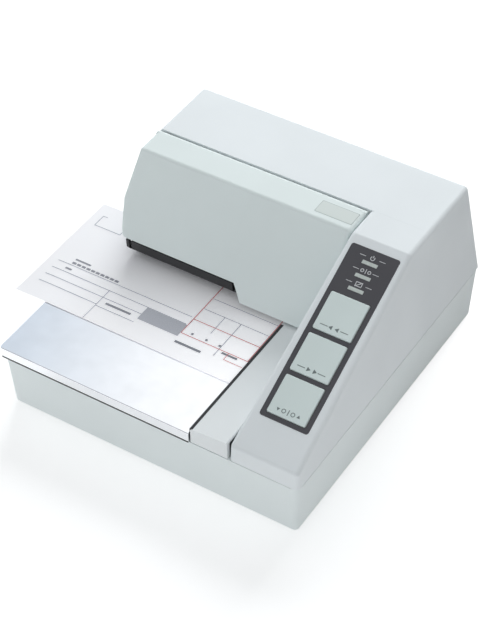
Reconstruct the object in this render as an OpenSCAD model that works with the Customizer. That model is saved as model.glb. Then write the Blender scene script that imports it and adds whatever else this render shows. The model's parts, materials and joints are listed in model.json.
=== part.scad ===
// Compact slip printer with an impact dot head: a flat base, a polished paper table, and an upper case
// that reaches over the table like a letter C, with a hinged ribbon cover and a sloped key panel.
// X runs to the right, Y to the back and Z up. The origin is the centre of the base's flat underside.

/* [Case] */
// Width of the case at the seam
case_w = 180; // [176:1:190]
// Depth of the case at the seam
case_d = 190; // [188:1:200]
// Height of the top above the underside
case_h = 99; // [98:0.5:104]
// Height of the seam between the lower and the upper case
seam_z = 33; // [32.5:0.5:34]
// Thickness of the moulded walls
wall = 2.4; // [2:0.1:2.8]
// Vertical corner radius of the lower case at the seam
corner_r = 5; // [4.5:0.5:6]
// How far each side of the underside lies inside the seam
base_inset = 2.2; // [1:0.1:2.6]
// Width of the open line at the seam
seam_gap = 0.3; // [0.2:0.05:0.5]
// Diameter of a rubber foot
foot_d = 14; // [10:1:18]
// Height of a foot below the underside
foot_h = 2; // [1:0.5:3]
// Depth of the pocket that holds a foot
foot_pocket = 1; // [0.6:0.2:1.4]

/* [Upper case] */
// Width of the key tower at the seam
tower_w = 40; // [38:1:44]
// Height of the slope's foot above the seam
slope_foot = 11; // [9:0.5:13]
// Share of the case's depth that lies in front of the crease at the top of the slope
slope_share = 0.59632; // [0.58:0.002:0.61]
// How far the rear wall leans forward up to the top
rear_lean = 15; // [8:1:18]
// Draft of the moulded sides in degrees
draft = 2.5; // [1:0.25:3]
// Rounding of the outer edges
edge_r = 2.5; // [1.5:0.25:3.5]
// Height of the throat above the paper table
throat_h = 6.5; // [6:0.25:8]

/* [Ribbon cover] */
// Depth of the cover's flat top
cover_top_d = 18.9; // [17:0.5:22]
// How far the cover's front face runs forward on its way down
cover_run = 26; // [24:0.5:28]
// Height of the cover's low right edge above the table
cover_low = 4.8; // [4.4:0.2:6]
// Height of the cover's raised left edge above the table
cover_high = 13.2; // [10:0.2:15]
// Distance from the tower to the top of the step between the two edges
cover_step = 55; // [45:1:65]
// Sideways run of that step
step_run = 6.2; // [4:0.2:9]
// Inset of the overhanging body at the top, from the base's left side
over_inset = 13.5; // [12:0.5:15]
// How far the overhanging body bulges out below its top
over_bulge = 4.5; // [3:0.5:5]
// Open line around the cover
cover_gap = 0.5; // [0.4:0.1:0.8]
// Radius of the bead along the cover's hinge edge
bead_r = 2.4; // [2.3:0.1:2.6]
// Radius of the cover's hinge pins
hinge_pin_r = 0.8; // [0.7:0.05:0.9]

/* [Paper path] */
// Height of the paper table above the seam
table_rise = 7; // [6.5:0.5:8]
// Thickness of the polished table plate
table_t = 1; // [0.8:0.1:1.2]
// Width of the side guide
guide_w = 22.6; // [20:0.2:26]
// Width of the slip form
slip_w = 137; // [110:1:150]
// Length of the slip form along the feed
slip_l = 81.8; // [70:1:95]
// Thickness of the slip form
slip_t = 0.2; // [0.1:0.05:0.3]
// Radius of the feed rollers
feed_r = 6; // [5.5:0.1:6.5]
// Radius of the pinch rollers
pinch_r = 3.5; // [3:0.1:3.6]
// Distance between two feed rollers
roller_pitch = 30; // [26:1:32]

/* [Control panel] */
// Width of the dark panel
panel_w = 27.8; // [26:0.2:30]
// Length of the dark panel along the slope
panel_l = 100; // [98:0.5:102]
// Thickness of the panel
panel_t = 1.2; // [1:0.1:1.4]
// Distance from the slope's foot to the panel
panel_start = 20.4; // [18:0.2:22]
// Width of a key
key_w = 22; // [20:0.2:23]
// Length of a key along the slope
key_l = 21.4; // [20:0.2:22]
// Width of the dark web between two keys
key_web = 2.7; // [2.5:0.1:3.5]
// Height of the keys above the panel
key_proud = 0.9; // [0.7:0.1:1.2]
// Travel of a key
key_travel = 0.7; // [0.5:0.1:0.8]

/* [Print mechanism] */
// Thickness of the frame's sheet steel
sheet = 1.2; // [1:0.1:1.4]
// Radius of the carriage's guide shaft
shaft_r = 3; // [2.5:0.25:3.5]
// Radius of the rear guide rod
rod_r = 2; // [1.5:0.25:2.25]
// Radial clearance of a running fit
run_fit = 0.04; // [0.02:0.01:0.08]
// Clearance between loose neighbours
loose = 0.3; // [0.2:0.05:0.4]
// Pitch radius of the belt pulleys
pulley_r = 5; // [4.5:0.25:5.25]
// Thickness of the timing belt
belt_t = 1; // [0.8:0.1:1.2]
// Thickness of the ribbon cassette
cassette_t = 14; // [13:0.5:15]
// Width of the ink ribbon
ribbon_w = 9; // [8:0.5:10]
// Number of cooling fins on each side of the print head
fin_count = 6; // [4:1:7]
// Teeth of the feed gear
feed_teeth = 24; // [22:1:25]
// Teeth of the feed motor's pinion
pinion_teeth = 10; // [10:1:12]
// Module of the feed gears
gear_m = 0.5; // [0.45:0.01:0.5]

/* [Rear and underside] */
// Distance between the two jackscrews of the interface connector
jack_pitch = 47.04; // [47:0.02:47.1]
// Radius of the threaded hole in a jackscrew
jack_hole_r = 1.3; // [1.2:0.05:1.4]
// Radius of the power inlet's mouth
inlet_r = 4.7; // [4.2:0.1:5]
// Radius of a case screw's shank
screw_r = 1.5; // [1.25:0.05:1.75]

/* [Hidden] */
$fn = 48;
hull_fn = 24;
cover_fn = 28;

// Outer planes of the case
right_x = case_w / 2;
left_x = -right_x;
front_y = -case_d / 2;
rear_y = case_d / 2;
table_z = seam_z + table_rise;
throat_z = table_z + throat_h;
foot_z = seam_z + slope_foot;
rise = case_h - table_z;
crease_y = front_y + case_d * slope_share;
hinge_y = crease_y + cover_top_d - bead_r;
hinge_z = case_h - bead_r;
roof_y = hinge_y + bead_r + cover_gap;
below = edge_r * 2 + 2;
function front_at(z) = front_y + (z - seam_z) * tan(draft);
function rear_at(z) = rear_y - (z - seam_z) * rear_lean / (case_h - seam_z);
function tower_right(z) = right_x - (z - seam_z) * tan(draft);
function tower_left(z) = right_x - tower_w + (z - seam_z) * tan(draft);
function cover_face(z) = crease_y - cover_run * (case_h - z) / (case_h - table_z - cover_low);

// Overhanging body: its left end bulges out between the top and the throat
bulge_z = case_h - 27;
waist_z = case_h - 33.5;
curl_z = case_h - 40.5;
function over_left(z) = left_x
    + lookup(z, [[table_z, over_inset + 1], [curl_z, over_inset - over_bulge * 0.45],
    [waist_z, over_inset - over_bulge * 0.8], [bulge_z, over_inset - over_bulge], [case_h, over_inset]]);

// Slope of the key tower
slope_foot_y = front_at(foot_z);
slope_deg = atan2(case_h - foot_z, crease_y - slope_foot_y);
tower_x = right_x - tower_w / 2;
key_pitch = key_l + key_web;
key_step = [2, 1, 0];
lens_w = 8.6;
lens_l = 1.9;
lens_start = key_pitch * 3 + key_web + 2.2;
lens_margin = 7.5;
lens_pitch = (panel_l - lens_start - lens_margin) / 2;
board_depth = 9;
board_t = 1.6;

// Paper path
guide_left = right_x - tower_w - guide_w;
table_right = guide_left - 0.9;
path_wall_x = guide_left;
slip_z = table_z + 0.05;
slip_front = hinge_y - 9.3 - slip_l;
slip_right = guide_left - 0.6;

// Lean of the print mechanism, parallel to the cover's front
lean = atan2(cover_run, case_h - table_z - cover_low);
print_y = crease_y - 12.3;
print_z = table_z + 1;

// Upper frame between the tower and the overhang's left end
frame_left = left_x + 18;
frame_right = right_x - tower_w - 4.2;
frame_z = throat_z;
deck_y = print_y + 33;
shaft_y = print_y + 25;
shaft_z = table_z + 18;
rod_y = print_y + 40;
rod_z = shaft_z + 4;
release_y = print_y + 30;
release_z = table_z + 8.3;

// Feed train under the table
feed_y = print_y + 13;
feed_z = table_z - feed_r;
roller_w = 10;
roller_x = [for (i = [0:2]) table_right - 16 - i * roller_pitch];
pinch_z = slip_z + slip_t + 0.05 + pinch_r;
stopper_y = slip_front + slip_l + loose;
lower_deck_z = seam_z - 17;
lower_left = left_x + 10;
bearing_x = frame_right - sheet - 0.5;
gear_x = bearing_x + sheet + 0.4;
gear_w = 2.6;
gear_centres = gear_m * (feed_teeth + pinion_teeth) / 2 + 0.06;
motor_y = feed_y + gear_centres * cos(45);
motor_z = feed_z - gear_centres * sin(45);
motor_r = 10;
bracket_x = gear_x + gear_w + 1.2;

// Cassette and head, in the leaning frame whose height runs up the cover's lean
head_reach = rise * 0.5763;
cassette_foot = head_reach + 4;
cassette_top = cassette_foot + rise * 0.2712;
cassette_left = frame_left + sheet + 0.8;
cassette_right = frame_right - 3;
arm_w = 9;
peg_z = cassette_foot + 8;
peg_r = 1.5;
head_w = 22;
head_t = 14;
carriage_w = 28;
home_x = cassette_right - arm_w - head_w / 2 - 1;

// Belt drive
belt_y = rod_y + 10;
belt_z = shaft_z - 4;
belt_h = 4;
drive_x = frame_right - 12.5;
idler_x = frame_left + sheet + 9.8;
carriage_motor_r = 11.5;
carriage_motor_z = shaft_z + 9.5;
carriage_motor_l = case_h - 11.5 - carriage_motor_z;

// Returns the polygon moved inwards by d; the points run counter-clockwise
function unit(v) = v / norm(v);
function left_of(v) = [-v.y, v.x];
function inset(p, d) = [for (i = [0:len(p) - 1])
    let (m = left_of(unit(p[i] - p[(i + len(p) - 1) % len(p)])),
    n = left_of(unit(p[(i + 1) % len(p)] - p[i])))
    p[i] + (m + n) * d / (1 + m * n)];
function arc(c, r, a0, a1, steps = 6) = [for (i = [0:steps])
    let (a = a0 + (a1 - a0) * i / steps) c + r * [cos(a), sin(a)]];

// Extrudes a (y, z) outline from one x to another
module along_x(x0, x1) translate([x0, 0, 0]) rotate([90, 0, 90]) linear_extrude(x1 - x0) children();
// Extrudes an (x, z) outline from one y to another
module along_y(y0, y1) translate([0, y1, 0]) rotate([90, 0, 0]) linear_extrude(y1 - y0) children();
// A cylinder along X between two places
module rod_x(x0, x1, r) translate([x0, 0, 0]) rotate([0, 90, 0]) cylinder(r = r, h = x1 - x0);
// A box between two corners
module block(a, b) translate(a) cube(b - a);
// Places children on the slope: x across, s up from its foot, h above its surface
module on_slope(x, s, h = 0)
    translate([x, slope_foot_y, foot_z]) rotate([slope_deg, 0, 0]) translate([0, s, h]) children();
// Places children in the leaning frame of the print mechanism
module leaned() translate([0, print_y, print_z]) rotate([-lean, 0, 0]) children();
// A rounded plate centred on x and y
module plate(w, l, t, r) linear_extrude(t) rounded_rect(w, l, r);
module rounded_rect(w, l, r) {
    square([w - 2 * r, l], center = true);
    square([w, l - 2 * r], center = true);
    for (x = [-1, 1], y = [-1, 1]) translate([x * (w / 2 - r), y * (l / 2 - r)]) circle(r);
}
// A solid with rounded edges between two side planes given as functions of height
module rounded_block(profile, x_lo, x_hi, r, fn = hull_fn)
    hull() for (p = inset(profile, r), x = [x_lo(p.y) + r, x_hi(p.y) - r])
        translate([x, p.x, p.y]) sphere(r = r, $fn = fn);
// The same form with sharp edges, for cavities: an outline from the side, trimmed to the same side planes
module drafted_block(profile, x_lo, x_hi, levels) intersection() {
    along_x(left_x - 20, right_x + 20) polygon(profile);
    along_y(front_y - 40, rear_y + 20) polygon(concat([for (z = levels) [x_lo(z), z]],
        [for (i = [1:len(levels)]) let (z = levels[len(levels) - i]) [x_hi(z), z]]));
}
// A gear with straight-flanked teeth, one tooth or gap centred on +X
module gear(teeth, h, shift = 0) linear_extrude(h) rotate(shift)
    polygon([for (i = [0:teeth - 1], k = [[-0.28, -1.2], [-0.1, 0.95], [0.1, 0.95], [0.28, -1.2]])
        let (a = 360 * (i + k[0]) / teeth, r = gear_m * (teeth / 2 + k[1])) r * [cos(a), sin(a)]]);

// ---- Lower case ----
post_d = 7;
frame_screw_r = 1.25;
frame_screw_l = 7.2;
floor_t = 2.4;
rib_top = 5;
post_xs = [lower_left + 8, frame_right - 10];
post_ys = [print_y + 1, print_y + 27];
foot_x = right_x - base_inset - 14;
foot_y = rear_y - 18;
screw_places = [[tower_x - 12, front_y + 14], [tower_x - 12, rear_y - 16], [tower_x + 10, front_y + 115]];
rib_ends = [[tower_x - 12, front_y + wall - 0.4], [tower_x - 12, rear_y - wall + 0.4],
    [right_x - wall + 0.8, front_y + 115]];
board_w = 118;
board_l = 44;
board_x = -14;
board_y = rear_y - 8 - board_l / 2;
board_z = 7;
board_holes = [for (x = [-1, 1], y = [-1, 1]) [board_x + x * (board_w / 2 - 5),
    board_y + y * (board_l / 2 - 5)]];
connector_x = board_x - 4;
connector_z = board_z + board_t + 8;
connector_w = jack_pitch + 5.96;
shell_half = jack_pitch / 2 - 3.02;
pin_pitch = 2.76;
connector_h = 12.6;
inlet_x = connector_x + connector_w / 2 + 14;
inlet_z = connector_z;
inlet_s = 13;
switch_x = right_x - 20;
switch_w = 13;
switch_h = 19.6;
switch_z = seam_z / 2;
bezel = 1;
ground_x = connector_x - connector_w / 2 - 9;
hatch_x = left_x + 50;
hatch_y = front_y + 45;
hatch_w = 44;
hatch_l = 20;
rear_skin = wall + 1.6;

// A box that tapers down from the seam, with rounded corners; grow moves its sides inwards
module tray(grow, z0, z1 = seam_z) {
    hx = right_x - grow;
    hy = rear_y - grow;
    r = corner_r - grow * 0.6;
    taper = base_inset * (seam_z - z0) / seam_z;
    lift = base_inset * (z1 - seam_z) / seam_z;
    along_x(r - hx, hx - r)
        polygon([[taper - hy, z0], [hy - taper, z0], [hy + lift, z1], [-hy - lift, z1]]);
    along_y(r - hy, hy - r)
        polygon([[taper - hx, z0], [hx - taper, z0], [hx + lift, z1], [-hx - lift, z1]]);
    for (x = [-1, 1], y = [-1, 1]) translate([x * (hx - r), y * (hy - r), z0])
        cylinder(r1 = r - taper, r2 = r + lift, h = z1 - z0);
}
module rear_windows() {
    block([connector_x - connector_w / 2 - loose, rear_y - 8, connector_z - connector_h / 2 - loose],
          [connector_x + connector_w / 2 + loose, rear_y + 1, connector_z + connector_h / 2 + loose]);
    block([inlet_x - inlet_s / 2 - loose, rear_y - 8, inlet_z - inlet_s / 2 - loose],
          [inlet_x + inlet_s / 2 + loose, rear_y + 1, inlet_z + inlet_s / 2 + loose]);
    for (step = [[0.1, rear_y - 8], [bezel + 0.1, rear_y - wall]])
        block([switch_x - switch_w / 2 - step[0], step[1], switch_z - switch_h / 2 - step[0]],
              [switch_x + switch_w / 2 + step[0], rear_y + 1, switch_z + switch_h / 2 + step[0]]);
    translate([ground_x, rear_y + 1, connector_z]) rotate([90, 0, 0])
        cylinder(r = screw_r + 0.05, h = 10);
}
module lower_case() color([0.82, 0.85, 0.85]) difference() {
    union() {
        difference() {
            tray(0, 0);
            tray(wall, floor_t, seam_z + 1);
        }
        // Posts for the lower frame, the main board and the long case screws
        for (x = post_xs, y = post_ys) translate([x, y, 0.5])
            cylinder(d = post_d, h = lower_deck_z - 0.5);
        for (p = board_holes) translate([p.x, p.y, 0.5]) cylinder(d = 6, h = board_z - 0.5);
        for (p = screw_places) translate([p.x, p.y, 0.5]) cylinder(d = post_d + 1, h = seam_z - 0.5);
        // Stiffening ribs on the floor
        for (i = [0:3]) block([left_x + wall + 1, front_y + 22 + i * 18, 1],
            [right_x - wall - 1, front_y + 23.4 + i * 18, rib_top]);
        for (x = [left_x + 30, -4, right_x - 30])
            block([x, front_y + wall + 1, 1], [x + 1.4, front_y + 76, rib_top]);
        // Frame around the switch hatch, and sockets for the feet
        block([hatch_x - hatch_w / 2 - 2, hatch_y - hatch_l / 2 - 2, 0.5],
            [hatch_x + hatch_w / 2 + 2, hatch_y + hatch_l / 2 + 2, rib_top]);
        for (x = [-1, 1], y = [-1, 1]) translate([x * foot_x, y * foot_y, 0.5])
            cylinder(d = foot_d + 4, h = floor_t + foot_pocket - 0.5);
        // Thicker skin behind the rear sockets, and a tongue that locates the tower
        block([ground_x - 8, rear_y - base_inset - rear_skin - 1, 1],
            [switch_x + switch_w / 2 + 4, rear_y - base_inset - 1, seam_z - 4]);
        block([tower_left(seam_z) + wall + loose, front_y + wall + loose, seam_z - 9],
              [right_x - wall - corner_r - 2, front_y + wall + loose + 1.4, seam_z + 2]);
    }
    for (x = [-1, 1], y = [-1, 1]) translate([x * foot_x, y * foot_y, -1])
        cylinder(d = foot_d + 0.2, h = foot_pocket + 1);
    for (x = post_xs, y = post_ys) translate([x, y, lower_deck_z - 8])
        cylinder(r = frame_screw_r, h = 10);
    for (p = board_holes) translate([p.x, p.y, 1.3]) cylinder(r = frame_screw_r, h = 10);
    for (p = screw_places) {
        translate([p.x, p.y, -1]) cylinder(r = screw_r + 0.15, h = seam_z + 2);
        translate([p.x, p.y, -1]) cylinder(r = screw_r * 2 + 0.3, h = 6);
    }
    block([hatch_x - hatch_w / 2, hatch_y - hatch_l / 2, -1],
        [hatch_x + hatch_w / 2, hatch_y + hatch_l / 2, 1.8]);
    block([hatch_x - hatch_w / 2 + 2, hatch_y - hatch_l / 2 + 2, -1],
        [hatch_x + hatch_w / 2 - 8, hatch_y + hatch_l / 2 - 2, 8]);
    translate([hatch_x + hatch_w / 2 - 4, hatch_y, -1]) cylinder(r = 1.1, h = 5);
    rear_windows();
}
module rubber_feet() color([0.16, 0.16, 0.17]) for (x = [-1, 1], y = [-1, 1])
    translate([x * foot_x, y * foot_y, -foot_h])
    rotate_extrude() polygon([[0, 0], [foot_d / 2 - 1, 0], [foot_d / 2 - 0.3, 0.5], [foot_d / 2, foot_h],
                              [foot_d / 2, foot_h + foot_pocket], [0, foot_h + foot_pocket]]);
module pan_screw(shank, reach, head_h = 2) {
    translate([0, 0, -head_h]) difference() {
        cylinder(r = shank * 2, h = head_h);
        for (a = [0, 90]) rotate(a) block([-shank * 1.2, -0.4, -1], [shank * 1.2, 0.4, 1]);
    }
    cylinder(r = shank, h = reach);
}
module case_screws() color([0.7, 0.71, 0.73]) for (p = screw_places)
    translate([p.x, p.y, 5]) pan_screw(screw_r, seam_z + 6 - 5);
module switch_hatch() color([0.80, 0.83, 0.83]) difference() {
    block([hatch_x - hatch_w / 2 + 0.2, hatch_y - hatch_l / 2 + 0.2, 0.3],
        [hatch_x + hatch_w / 2 - 0.2, hatch_y + hatch_l / 2 - 0.2, 1.8]);
    translate([hatch_x + hatch_w / 2 - 4, hatch_y, -1]) cylinder(r = 1.2, h = 5);
    translate([hatch_x + hatch_w / 2 - 4, hatch_y, -1]) cylinder(r = 2.4, h = 2.3);
    for (i = [0:2]) block([hatch_x - 14 + i * 3, hatch_y - 4, -1],
        [hatch_x - 12.8 + i * 3, hatch_y + 4, 0.9]);
}
module hatch_screw() color([0.7, 0.71, 0.73])
    translate([hatch_x + hatch_w / 2 - 4, hatch_y, 1.3]) pan_screw(1.1, 2.5, 0.9);
module switch_bank() color([0.45, 0.16, 0.14]) {
    difference() {
        block([hatch_x - 17, hatch_y - 5, 5.2], [hatch_x + 8, hatch_y + 5, 9.5]);
        for (i = [0:7]) block([hatch_x - 15.7 + i * 2.85, hatch_y - 3, 4],
            [hatch_x - 14.1 + i * 2.85, hatch_y + 3, 6.2]);
    }
    for (i = [0:7]) block([hatch_x - 15.5 + i * 2.85, hatch_y - 2.6, 4.6],
        [hatch_x - 14.3 + i * 2.85, hatch_y - 0.2, 6.4]);
    block([hatch_x - 22, hatch_y - 8, 9.5], [hatch_x + 17, hatch_y + 8, 11.1]);
    for (x = [hatch_x - 21, hatch_x + 15.5])
        block([x - 0.8, hatch_y - 7, 5], [x + 0.8, hatch_y + 7, 9.6]);
}

// ---- Electronics and rear sockets ----
module main_board() color([0.13, 0.36, 0.22]) difference() {
    translate([board_x, board_y, board_z]) linear_extrude(board_t)
        square([board_w, board_l], center = true);
    for (p = board_holes) translate([p.x, p.y, 0]) cylinder(r = 1.3, h = 20);
}
module board_parts() color([0.12, 0.12, 0.13]) translate([board_x, board_y, board_z + board_t]) {
    for (p = [[-40, -10, 14, 14], [-14, -10, 18, 10], [14, -10, 10, 18]])
        translate([p[0] - p[2] / 2, p[1] - p[3] / 2, 0]) cube([p[2], p[3], 2.4]);
    for (p = [[33, -12, 5, 14], [46, -12, 5, 6.5], [40, 2, 4, 7]]) translate([p[0], p[1], 0])
        cylinder(r = p[2], h = p[3]);
    for (i = [0:4]) translate([-52 + i * 8, 6, 0]) cube([5, 2.5, 1.8]);
}
module interface_connector() color([0.72, 0.73, 0.75]) {
    difference() {
        union() {
            block([connector_x - connector_w / 2, rear_y - 6.2, connector_z - connector_h / 2],
                  [connector_x + connector_w / 2, rear_y - 5, connector_z + connector_h / 2]);
            block([connector_x - shell_half, rear_y - 8, connector_z - 4.9],
                  [connector_x + shell_half, rear_y - 0.5, connector_z + 4.9]);
            block([connector_x - shell_half - 1.5, rear_y - 17, board_z + board_t],
                  [connector_x + shell_half + 1.5, rear_y - 7.9, connector_z + 4]);
        }
        for (s = [-1, 1]) translate([connector_x + s * jack_pitch / 2, rear_y, connector_z])
            rotate([90, 0, 0]) cylinder(r = 1.6, h = 20);
        block([connector_x - shell_half + 1, rear_y - 4.6, connector_z - 3.9],
              [connector_x + shell_half - 1, rear_y + 1, connector_z + 3.9]);
    }
    for (row = [[12, 1.4], [11, -1.4]], i = [0:row[0]])
        translate([connector_x + (i - row[0] / 2) * pin_pitch, rear_y - 1.5, connector_z + row[1]])
            rotate([90, 0, 0]) cylinder(r = 0.5, h = 3.3, $fn = 8);
}
module connector_jackscrews() color([0.75, 0.76, 0.78]) for (s = [-1, 1])
    translate([connector_x + s * jack_pitch / 2, rear_y - 5, connector_z]) rotate([-90, 0, 0])
    difference() {
        union() {
            cylinder(r = 2.8, h = 5, $fn = 6);
            translate([0, 0, -8]) cylinder(r = 1.4, h = 8.5);
        }
        cylinder(r = jack_hole_r, h = 6);
    }
module power_inlet() color([0.12, 0.12, 0.13]) translate([inlet_x, 0, 0]) difference() {
    union() {
        block([-inlet_s / 2, rear_y - 14, inlet_z - inlet_s / 2],
            [inlet_s / 2, rear_y - 1.6, inlet_z + inlet_s / 2]);
        block([-inlet_s / 2 + 1, rear_y - 14, board_z + board_t], [inlet_s / 2 - 1, rear_y - 8, inlet_z]);
    }
    translate([0, rear_y, inlet_z]) rotate([90, 0, 0]) difference() {
        cylinder(r = inlet_r, h = 10);
        translate([0, 0, 6.6]) cylinder(r = inlet_r - 1.2, h = 10);
    }
    for (a = [90, 210, 330]) translate([2 * cos(a), rear_y, inlet_z + 2 * sin(a)]) rotate([90, 0, 0])
        cylinder(r = 0.6, h = 10);
}
rocker_gap = 0.35;
rocker_y = rear_y - 5.5;
rocker_tilt = 9;
module power_switch() color([0.12, 0.12, 0.13]) translate([switch_x, 0, switch_z]) difference() {
    union() {
        block([-switch_w / 2, rear_y - 17, -switch_h / 2], [switch_w / 2, rear_y - 1, switch_h / 2]);
        block([-switch_w / 2 - bezel, rear_y - wall, -switch_h / 2 - bezel],
            [switch_w / 2 + bezel, rear_y + 0.4, switch_h / 2 + bezel]);
    }
    block([-switch_w / 2 + 1.6, rear_y - 11, -switch_h / 2 + 1.8],
        [switch_w / 2 - 1.6, rear_y + 2, switch_h / 2 - 1.8]);
    translate([0, rocker_y, 0]) rod_x(-switch_w / 2 + 0.6, switch_w / 2 - 0.6, 1.2 + run_fit);
}
module power_rocker() color([0.1, 0.1, 0.11]) translate([switch_x, rocker_y, switch_z])
    rotate([rocker_tilt, 0, 0]) {
    along_x(-switch_w / 2 + 1.6 + rocker_gap, switch_w / 2 - 1.6 - rocker_gap)
        polygon(concat([[-3, -3.2], [-3, 3.2]], [[3.6, switch_h / 2 - 2.8], [6, switch_h / 2 - 2.9]],
            [[4.6, 0]], [[6, -switch_h / 2 + 2.9], [3.6, -switch_h / 2 + 2.8]]));
    rod_x(-switch_w / 2 + 0.6 + rocker_gap, switch_w / 2 - 0.6 - rocker_gap, 1.2);
}
module ground_screw() color([0.75, 0.76, 0.78])
    translate([ground_x, rear_y - base_inset * (1 - (connector_z + 2 * screw_r) / seam_z), connector_z])
    rotate([90, 0, 0]) pan_screw(screw_r, 8);

// ---- Lower frame, platen and feed train ----
deck_front = print_y - 7;
deck_rear = print_y + 30;
lower_rear = print_y + 66;
foot_x0 = frame_right - 18;
module lower_frame() color([0.66, 0.68, 0.70]) difference() {
    union() {
        block([lower_left, deck_front, lower_deck_z],
            [bracket_x + sheet, deck_rear, lower_deck_z + sheet]);
        block([foot_x0, deck_rear - 0.01, lower_deck_z],
            [bracket_x + sheet, lower_rear, lower_deck_z + sheet]);
        block([lower_left, deck_front, lower_deck_z], [lower_left + sheet, deck_rear, table_z - table_t]);
        along_x(bearing_x, bearing_x + sheet)
            polygon([[deck_front, lower_deck_z], [deck_rear, lower_deck_z],
            [deck_rear, table_z - 4], [deck_rear - 4, table_z - table_t],
            [deck_front, table_z - table_t]]);
        along_x(bracket_x, bracket_x + sheet)
            polygon([[motor_y - 13, lower_deck_z], [motor_y + 13, lower_deck_z],
            [motor_y + 13, seam_z - 4], [motor_y + 9, seam_z - loose], [motor_y - 9, seam_z - loose],
            [motor_y - 13, seam_z - 4]]);
    }
    for (x = [lower_left, bearing_x]) translate([0, feed_y, feed_z])
        rod_x(x - 1, x + sheet + 1, feed_shaft_r + run_fit);
    translate([0, motor_y, motor_z]) rod_x(bracket_x - 1, bracket_x + sheet + 1, 3.6);
    for (x = post_xs, y = post_ys) translate([x, y, 0]) cylinder(r = frame_screw_r + 0.15, h = 60);
    for (p = foot_screws) translate([p.x, p.y, 0]) cylinder(r = frame_screw_r + 0.15, h = 60);
    // Gap for the pinion, and lightening slots in the deck
    block([gear_x - 0.5, motor_y - 4, lower_deck_z - 1],
        [gear_x + gear_w + 0.5, motor_y + 4, lower_deck_z + 3]);
    for (i = [0:4]) translate([lower_left + 26 + i * 17, print_y + 8, 0]) linear_extrude(60)
        rounded_rect(9, 12, 3);
    for (s = [-1, 1]) translate([0, feed_y + s * 9.5, feed_z - 9])
        rod_x(lower_left - 1, lower_left + sheet + 1, 2.4);
}
foot_screws = [for (y = [deck_y + 8, deck_y + 24]) [frame_right - 5.5, y]];
module frame_screw(p, z) translate([p.x, p.y, z]) mirror([0, 0, 1])
    pan_screw(frame_screw_r, frame_screw_l, 1.6);
module frame_screws() color([0.75, 0.76, 0.78]) {
    for (x = post_xs, y = post_ys) frame_screw([x, y], lower_deck_z + sheet);
    for (p = foot_screws) frame_screw(p, lower_deck_z + 2 * sheet);
    for (p = board_holes) frame_screw(p, board_z + board_t);
}
platen_w = ribbon_w + 1;
slot_left = frame_left + 5;
slot_right = table_right - 3;
module platen() color([0.45, 0.46, 0.48]) {
    block([lower_left + sheet, print_y - platen_w / 2, table_z - 6],
        [bearing_x, print_y + platen_w / 2, table_z - table_t]);
    block([slot_left + 0.3, print_y - platen_w / 2 + 0.8, table_z - table_t - 0.5],
        [slot_right - 0.3, print_y + platen_w / 2 - 0.8, table_z]);
}
module feed_motor() color([0.62, 0.64, 0.66]) {
    difference() {
        union() {
            translate([0, motor_y, motor_z]) rod_x(bracket_x + sheet, bracket_x + sheet + 18, motor_r);
            block([bracket_x + sheet, motor_y - 4, motor_z - motor_r - 0.5],
                [bracket_x + sheet + 9, motor_y + 4, motor_z - motor_r + 3]);
        }
        translate([0, motor_y, motor_z]) rod_x(bracket_x, bracket_x + sheet + 5, 1 + run_fit);
    }
    translate([0, motor_y, motor_z]) rod_x(bracket_x + sheet + 18, bracket_x + sheet + 19, 3);
}
module feed_pinion() color([0.85, 0.82, 0.70]) translate([0, motor_y, motor_z]) {
    rod_x(gear_x, bracket_x + sheet + 4.8, 1);
    translate([gear_x, 0, 0]) rotate([90, 0, 90]) gear(pinion_teeth, gear_w, 135 + 180 / pinion_teeth);
}
shaft_end = gear_x + gear_w + 0.4;
feed_shaft_r = 2.5;
module tube_x(x0, x1, r, bore) difference() {
    rod_x(x0, x1, r);
    rod_x(x0 - 1, x1 + 1, bore);
}
module feed_shaft() color([0.66, 0.68, 0.70]) translate([0, feed_y, feed_z])
    rod_x(lower_left - 1, shaft_end, feed_shaft_r);
module feed_rollers() color([0.14, 0.14, 0.15]) for (x = roller_x)
    translate([0, feed_y, feed_z]) tube_x(x - roller_w / 2, x + roller_w / 2, feed_r, feed_shaft_r);
module feed_gear() color([0.9, 0.88, 0.8]) translate([0, feed_y, feed_z]) difference() {
    translate([gear_x, 0, 0]) rotate([90, 0, 90]) gear(feed_teeth, gear_w, -45);
    rod_x(gear_x - 1, shaft_end, feed_shaft_r);
}
stopper_up = 3.4;
stopper_x = [for (i = [0:2]) roller_x[i] - 11];
solenoid_x = roller_x[1] - 15;
stem_z = lower_deck_z + 7;
module form_stopper() color([0.70, 0.72, 0.74]) {
    for (x = stopper_x) block([x - 2.5, stopper_y, table_z - 8],
        [x + 2.5, stopper_y + sheet, table_z + stopper_up]);
    block([stopper_x[2] - 6, stopper_y, table_z - 9], [stopper_x[0] + 6, stopper_y + sheet, table_z - 5]);
    block([solenoid_x - 5, stopper_y, table_z - 9], [solenoid_x + 5, stopper_y + 5, table_z - 9 + sheet]);
    translate([solenoid_x, stopper_y + 3, stem_z]) cylinder(r = 1.5, h = table_z - 9 + sheet - stem_z);
}
module stopper_solenoid() color([0.25, 0.26, 0.28]) difference() {
    block([solenoid_x - 7, stopper_y - 3.5, lower_deck_z + sheet],
        [solenoid_x + 7, stopper_y + 8, table_z - 14.5]);
    translate([solenoid_x, stopper_y + 3, lower_deck_z + sheet + 0.6])
        cylinder(r = 1.5 + run_fit, h = 40);
}

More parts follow.
